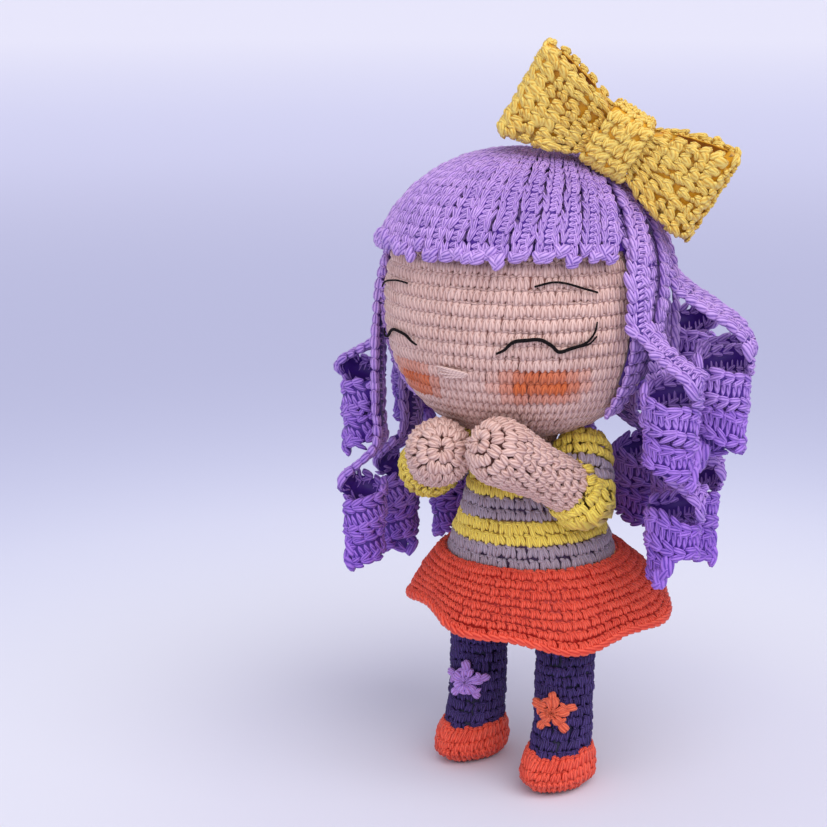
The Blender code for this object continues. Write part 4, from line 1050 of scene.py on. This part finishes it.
def strip_band(shape):
    """The thin cloth in the middle of a strip, as a closed flat band."""
    places, normals, across, wide = (values[::3] for values in shape)
    edge, top = across * (wide * BAND_SHARE)[:, None], normals * BAND_THICKNESS / 2
    rings = np.stack((places + edge + top, places - edge + top, places - edge - top, places + edge - top), 1)
    last = (len(places) - 1) * 4
    ends = ((3, 2, 1, 0), (last, last + 1, last + 2, last + 3))
    faces = np.concatenate((between_rings(len(places), 4)[2], ends))
    return plain_part(rings.reshape(-1, 3), faces.ravel(), np.full(len(faces), 4))


def hair_strip(name, line, node, seed, deep=0.0):
    """A crocheted strip of hair along a line, with a small knot of stitches at its end. Deep is how far its colour
    moves towards the deeper violet, from none near the crown to all of it towards its end: painted shade in the mass
    of hair.
    """
    surface, length, shape = strip_surface(*line)
    count = max(3, round(length / STRIP_STITCH))
    step = length / count
    cells = [(0, (index + 0.5) * step, 1, step) for index in range(count)]
    tones = deep * np.clip(np.linspace(-0.7, 1.3, count), 0, 1)
    random = np.random.default_rng(seed)
    knot = []
    for side in (-1, 1):
        across, down = side * 0.24 + random.uniform(-0.12, 0.12), length + random.uniform(-0.0014, 0.0012)
        knot.append((across, down, random.uniform(0.6, 0.85), step * 1.15))
    parts = [
        strip_band(shape),
        lay(surface, cells, STRIP_STITCHES, STRIP_DEPTH, seed, tones, sink=0.0, loose=0.9),
        lay(surface, knot, KNOT_STITCHES, END_KNOT_DEPTH, seed + 100, tones[-2:], sink=0.0, loose=1.5),
    ]
    make_piece(name, parts, [hair_gap_painted_shade, hair_yarn], "head_body", (node,))


def crown_point(turn, out):
    """The hair gathered over the crown, by turn about the crown and by distance from it."""
    azimuth = math.pi + out * np.sin(turn) / (HEAD_RADIUS * math.sin(CROWN_BACK / HEAD_RADIUS + 0.05))
    elevation = math.pi / 2 - CROWN_BACK / HEAD_RADIUS + out * np.cos(turn) / HEAD_RADIUS
    return above_head(azimuth, elevation, LAY_HEIGHT + 0.0006 - 0.1 * out)


CROWN_ROUNDS = ((5, 0.0012, 0.0026), (10, 0.0040, 0.0030), (14, 0.0068, 0.0030))
crown_cells = [
    (index * math.tau / count, out, math.tau / count, height)
    for count, out, height in CROWN_ROUNDS for index in range(count)
]
make_piece(
    "crown_stitches", [lay(crown_point, crown_cells, VEE_STITCH, 0.0013, 39, sink=0.0)],
    [hair_yarn], "head_body", (),
)
for index in range(FRINGE_COUNT):
    hair_strip(f"fringe_strip_{index + 1:02d}", laid_strip(index), f"fringe_{index + 1:02d}", 41 + index)


# Locks: long strips of the same work over the sides and the back. Crowded stitches twist each one into a corkscrew,
# some close to the head and some down beside the skirt. Their colour darkens towards a deeper violet along each lock,
# more on the low ones: painted shade in the mass of hair.
CURL_RADIUS, CURL_PITCH, CURL_POINTS, CURL_CLEARANCE = 0.0064, 0.009, 8, 0.0012
CURL_SPREAD, CURL_DROP, CURL_SIDE_DROP = 0.003, 0.006, 0.007
LOCK_CURVES = (
    ((0.22, 0.27, 0.40, 0.55, 1.00), (0.0, 1.0, 1.0, 0.0, 0.0)),
    ((0.0, 0.5, 0.6, 1.0), (0.0, 0.0, 1.0, 1.0)),
    ((0.0, 0.45, 0.68, 1.0), (1.0, 1.0, 0.8, 0.8)),
)
HANG_WIDENING, CURL_WIDENING = 1.12, 0.14
TIP_SHARE = 0.75
HIGH_CURL_TOP, LOW_CURL_TOP = 0.114, 0.0815
# How much painted shade the high and the low locks take on towards their ends.
LOCK_PAINTED_SHADE = (0.60, 0.72)
LOCK_SHARES = (
    (0.9, 18), (0.5, 15), (0.2, 22), (0.0, 17), (0.6, 18), (0.9, 14), (0.0, 22), (0.3, 16), (0.8, 18),
    (0.7, 13), (0.3, 20), (0.1, 17), (0.7, 18), (0.0, 17), (0.1, 20), (0.0, 19), (0.9, 17), (0.2, 16),
)


def smooth_step(share):
    share = min(max(share, 0.0), 1.0)
    return share * share * (3 - 2 * share)


def lock_line(index):
    """A lock over the head, its hanging part, and the corkscrew that it ends in, as the solid has them."""
    azimuth_deg = lock_azimuths[index]
    middle, outs, halves = laid_strip(FRINGE_COUNT + index, 12)
    hand = 1 if azimuth_deg <= 180 else -1
    out = facing(azimuth_deg, 0)
    along = np.cross((0, 0, 1), out) * hand
    axis_line = np.array((HEAD_CENTRE[0], HEAD_CENTRE[1], 0))
    leave_z = middle[-1][2]
    hang_radius = HEAD_RADIUS + LAY_HEIGHT
    drop_share, curl_steps = LOCK_SHARES[index]
    turn_share = azimuth_deg / 360
    spread, side_share, radius_share = (np.interp(turn_share, *shares) for shares in LOCK_CURVES)
    drop = CURL_DROP * drop_share + CURL_SIDE_DROP * side_share
    curl_radius = CURL_RADIUS * radius_share
    curl_reach = curl_radius + STRIP_THICKNESS / 2
    if index % 2 == 0:
        axis_radius = hang_radius + STRIP_THICKNESS / 2 + CURL_CLEARANCE + curl_reach + CURL_SPREAD * spread
        curl_top, hang_steps = HIGH_CURL_TOP - drop, 4
        late_flare = min(curl_top + CURL_PITCH, leave_z)
        flare_top = late_flare + (leave_z - late_flare) * spread
    else:
        axis_radius = SKIRT_RADIUS + SKIRT_FOLD + CURL_CLEARANCE + curl_reach
        curl_top, hang_steps = LOW_CURL_TOP - drop, 5
        flare_top = curl_top + CURL_PITCH
    for step in range(1, hang_steps + 1):
        z = leave_z + (curl_top - leave_z) * step / hang_steps
        swing = smooth_step((flare_top - z) / (flare_top - curl_top))
        reach = hang_radius + (axis_radius + curl_radius - hang_radius) * swing
        middle.append(axis_line + (0, 0, z) + out * reach)
        outs.append(out)
        halves.append(STRIP_WIDTH / 2 * HANG_WIDENING)
    axis = axis_line + out * axis_radius
    z, angle = curl_top, 0.0
    for step in range(curl_steps):
        rate = min(1.0, (step + 1) / 3)
        angle += math.tau / CURL_POINTS * rate
        z -= CURL_PITCH / CURL_POINTS * (2 - rate)
        spoke = out * math.cos(angle) + along * math.sin(angle)
        radius = curl_radius * (1 - (1 - TIP_SHARE) * step / curl_steps)
        middle.append(axis + spoke * radius + (0, 0, z))
        outs.append(spoke)
        halves.append(STRIP_WIDTH / 2 * (HANG_WIDENING + CURL_WIDENING * min(1, (step + 1) / 4)))
    return middle, outs, halves


for index in range(LOCK_COUNT):
    number = f"lock_{index + 1:02d}"
    hair_strip("curled_" + number, lock_line(index), number, 61 + index, LOCK_PAINTED_SHADE[index % 2])


# Bow: one yellow band folded into two loops that stand open at the top, and a short band that
# cinches the middle. It is worked in rows, turned at each end, so its face is all knobs.
BOW_HALF_LENGTH, BOW_END_HEIGHT, BOW_WAIST_HEIGHT, BOW_DEPTH = 0.0262, 0.0235, 0.0118, 0.0105
BOW_WALL, BAND_WAIST_DEPTH = 0.0022, 0.0052
KNOT_HALF_WIDTH, KNOT_HEIGHT, KNOT_DEPTH = 0.0055, 0.0160, 0.0108
BOW_AZIMUTH_DEG, BOW_COLATITUDE_DEG, BOW_TURN_DEG = 92, 32, 109
BOW_SHARES = np.array((
    (0.00, 0.00, 0.00), (0.21, 0.02, 0.02), (0.34, 0.55, 0.28), (0.52, 0.92, 0.55), (0.72, 1.00, 0.78),
    (0.88, 0.80, 0.94), (0.97, 0.30, 1.00),
))
bow_up = facing(BOW_AZIMUTH_DEG, 90 - BOW_COLATITUDE_DEG)
level = unit(np.cross((0, 0, 1), bow_up))
bow_along = np.array(Matrix.Rotation(math.radians(BOW_TURN_DEG), 3, Vector(bow_up)) @ Vector(level))
bow_centre = over_head(bow_up, LAY_HEIGHT + STRIP_THICKNESS / 2 + SEAM)[0] + bow_up * KNOT_HEIGHT / 2
bow_axes = np.stack((bow_along, np.cross(bow_along, bow_up), bow_up))


def bow_halves(share):
    deeper, higher = read_shares(BOW_SHARES, share)
    half_deep = (BAND_WAIST_DEPTH + (BOW_DEPTH - BAND_WAIST_DEPTH) * deeper) / 2
    return half_deep, (BOW_WAIST_HEIGHT + (BOW_END_HEIGHT - BOW_WAIST_HEIGHT) * higher) / 2


def band_line(turn, inset=0.0):
    """The band seen from above: along the bow, and half its depth, by turn from 0 to 4."""
    front = turn < 2
    along = np.where(front, turn - 1, 3 - turn)
    share = abs(along)
    half_deep, half_high = bow_halves(share * 0.97)
    closing = np.clip((share - 0.90) / 0.10, 0, 1)
    deep = (half_deep - inset) * np.sqrt(np.clip(1 - closing ** 2, 0, 1))
    return along * (BOW_HALF_LENGTH * 0.97 - inset), np.where(front, -deep, deep), half_high


band_turns = np.linspace(0, 4, 1601)
band_way = way_along(np.column_stack(band_line(band_turns)[:2]))
band_way *= 4 / band_way[-1]


def bow_point(around, rise, inset=0.0):
    """The band's face at an even pace round it, along the front, round the end and back, and up its height."""
    x, y, half_high = band_line(np.interp(np.mod(around, 4), band_way, band_turns), inset)
    return bow_centre + np.stack((x, y, half_high * rise), -1) @ bow_axes


def bow_lining(around, rise):
    return bow_point(-around, rise, BOW_WALL * 0.7)


# The cloth under the bow's stitches is a deeper orange than the yarn: painted shade in the gaps between the knobs.
butter_gap_painted_shade = yarn("butter_gap_painted_shade", (1.0, 0.50, 0.02), (0.7, 0.7, 0.7), bump=0.0001)
butter_yarn = yarn("butter_yarn", (0.94, 0.72, 0.175), (0.78, 0.48, 0.08))
KNOB_STITCH = stitch("knob", (
    ((-0.34, -0.38, 0.10), (0.02, -0.02, 0.50), 0.36, 0.90),
    ((-0.10, 0.40, 0.20), (0.36, 0.26, 0.40), 0.31, 0.86),
    ((0.22, -0.50, 0.10), (0.44, -0.10, 0.30), 0.24, 0.80),
))
BOW_COLUMNS, BOW_ROWS = 36, 8
INSIDE_FROM, INSIDE_TO = 0.35, 0.9
cells = [
    (column * 4 / BOW_COLUMNS, -1 + (row + 0.5) * 2 / BOW_ROWS, 4 / BOW_COLUMNS, 2 / BOW_ROWS)
    for column in range(BOW_COLUMNS) for row in range(BOW_ROWS)
]
inner_cells = [
    cell for cell in cells
    if INSIDE_FROM < abs(np.interp(-cell[0] % 4, band_way, band_turns) % 2 - 1) < INSIDE_TO
]
bow_parts = [
    lay(bow_point, cells, KNOB_STITCH, 0.0013, 91, sink=0.0006, loose=2.2),
    lay(bow_lining, inner_cells, KNOB_STITCH, 0.0005, 92, sink=0.0),
]
bow_stitches = make_piece("bow_stitches", bow_parts, [butter_yarn], "head_body", ())
bow = make_piece("bow_cloth", [cloth_under("bow_band", 0.0005)], [butter_gap_painted_shade], "head_body", ("bow_band",))


def knot_ring(turn, half_deep, half_high):
    """A place on a rounded square: its depth and its height."""
    ways = np.stack((np.cos(turn), np.sin(turn)), -1)
    return np.copysign(np.abs(ways) ** 0.5, ways) * (half_deep, half_high)


knot_turns = np.linspace(0, math.tau, 721)
knot_way = way_along(knot_ring(knot_turns, KNOT_DEPTH, KNOT_HEIGHT))
knot_way *= math.tau / knot_way[-1]


def knot_point(around, along):
    """The short band: around goes once round it at an even pace, and along is across the bow."""
    turn = np.interp(np.mod(around, math.tau), knot_way, knot_turns)
    deep, high = knot_ring(turn, KNOT_DEPTH / 2 - 0.0003, KNOT_HEIGHT / 2 * 0.92).T
    return bow_centre + np.stack((along * KNOT_HALF_WIDTH, deep, high), -1) @ bow_axes


KNOT_ROWS, KNOT_COLUMNS = 14, 4
knot_cells = [
    (row * math.tau / KNOT_ROWS, -0.70 + column * 0.47, math.tau / KNOT_ROWS, 0.50)
    for row in range(KNOT_ROWS) for column in range(KNOT_COLUMNS)
]
stitches = lay(knot_point, knot_cells, KNOB_STITCH, 0.0012, 93, sink=0.0005, loose=1.8)
knot = make_piece(
    "bow_knot_band", [cloth_under("bow_knot", 0.0005), stitches],
    [butter_gap_painted_shade, butter_yarn], "head_body", ("bow_knot",),
)
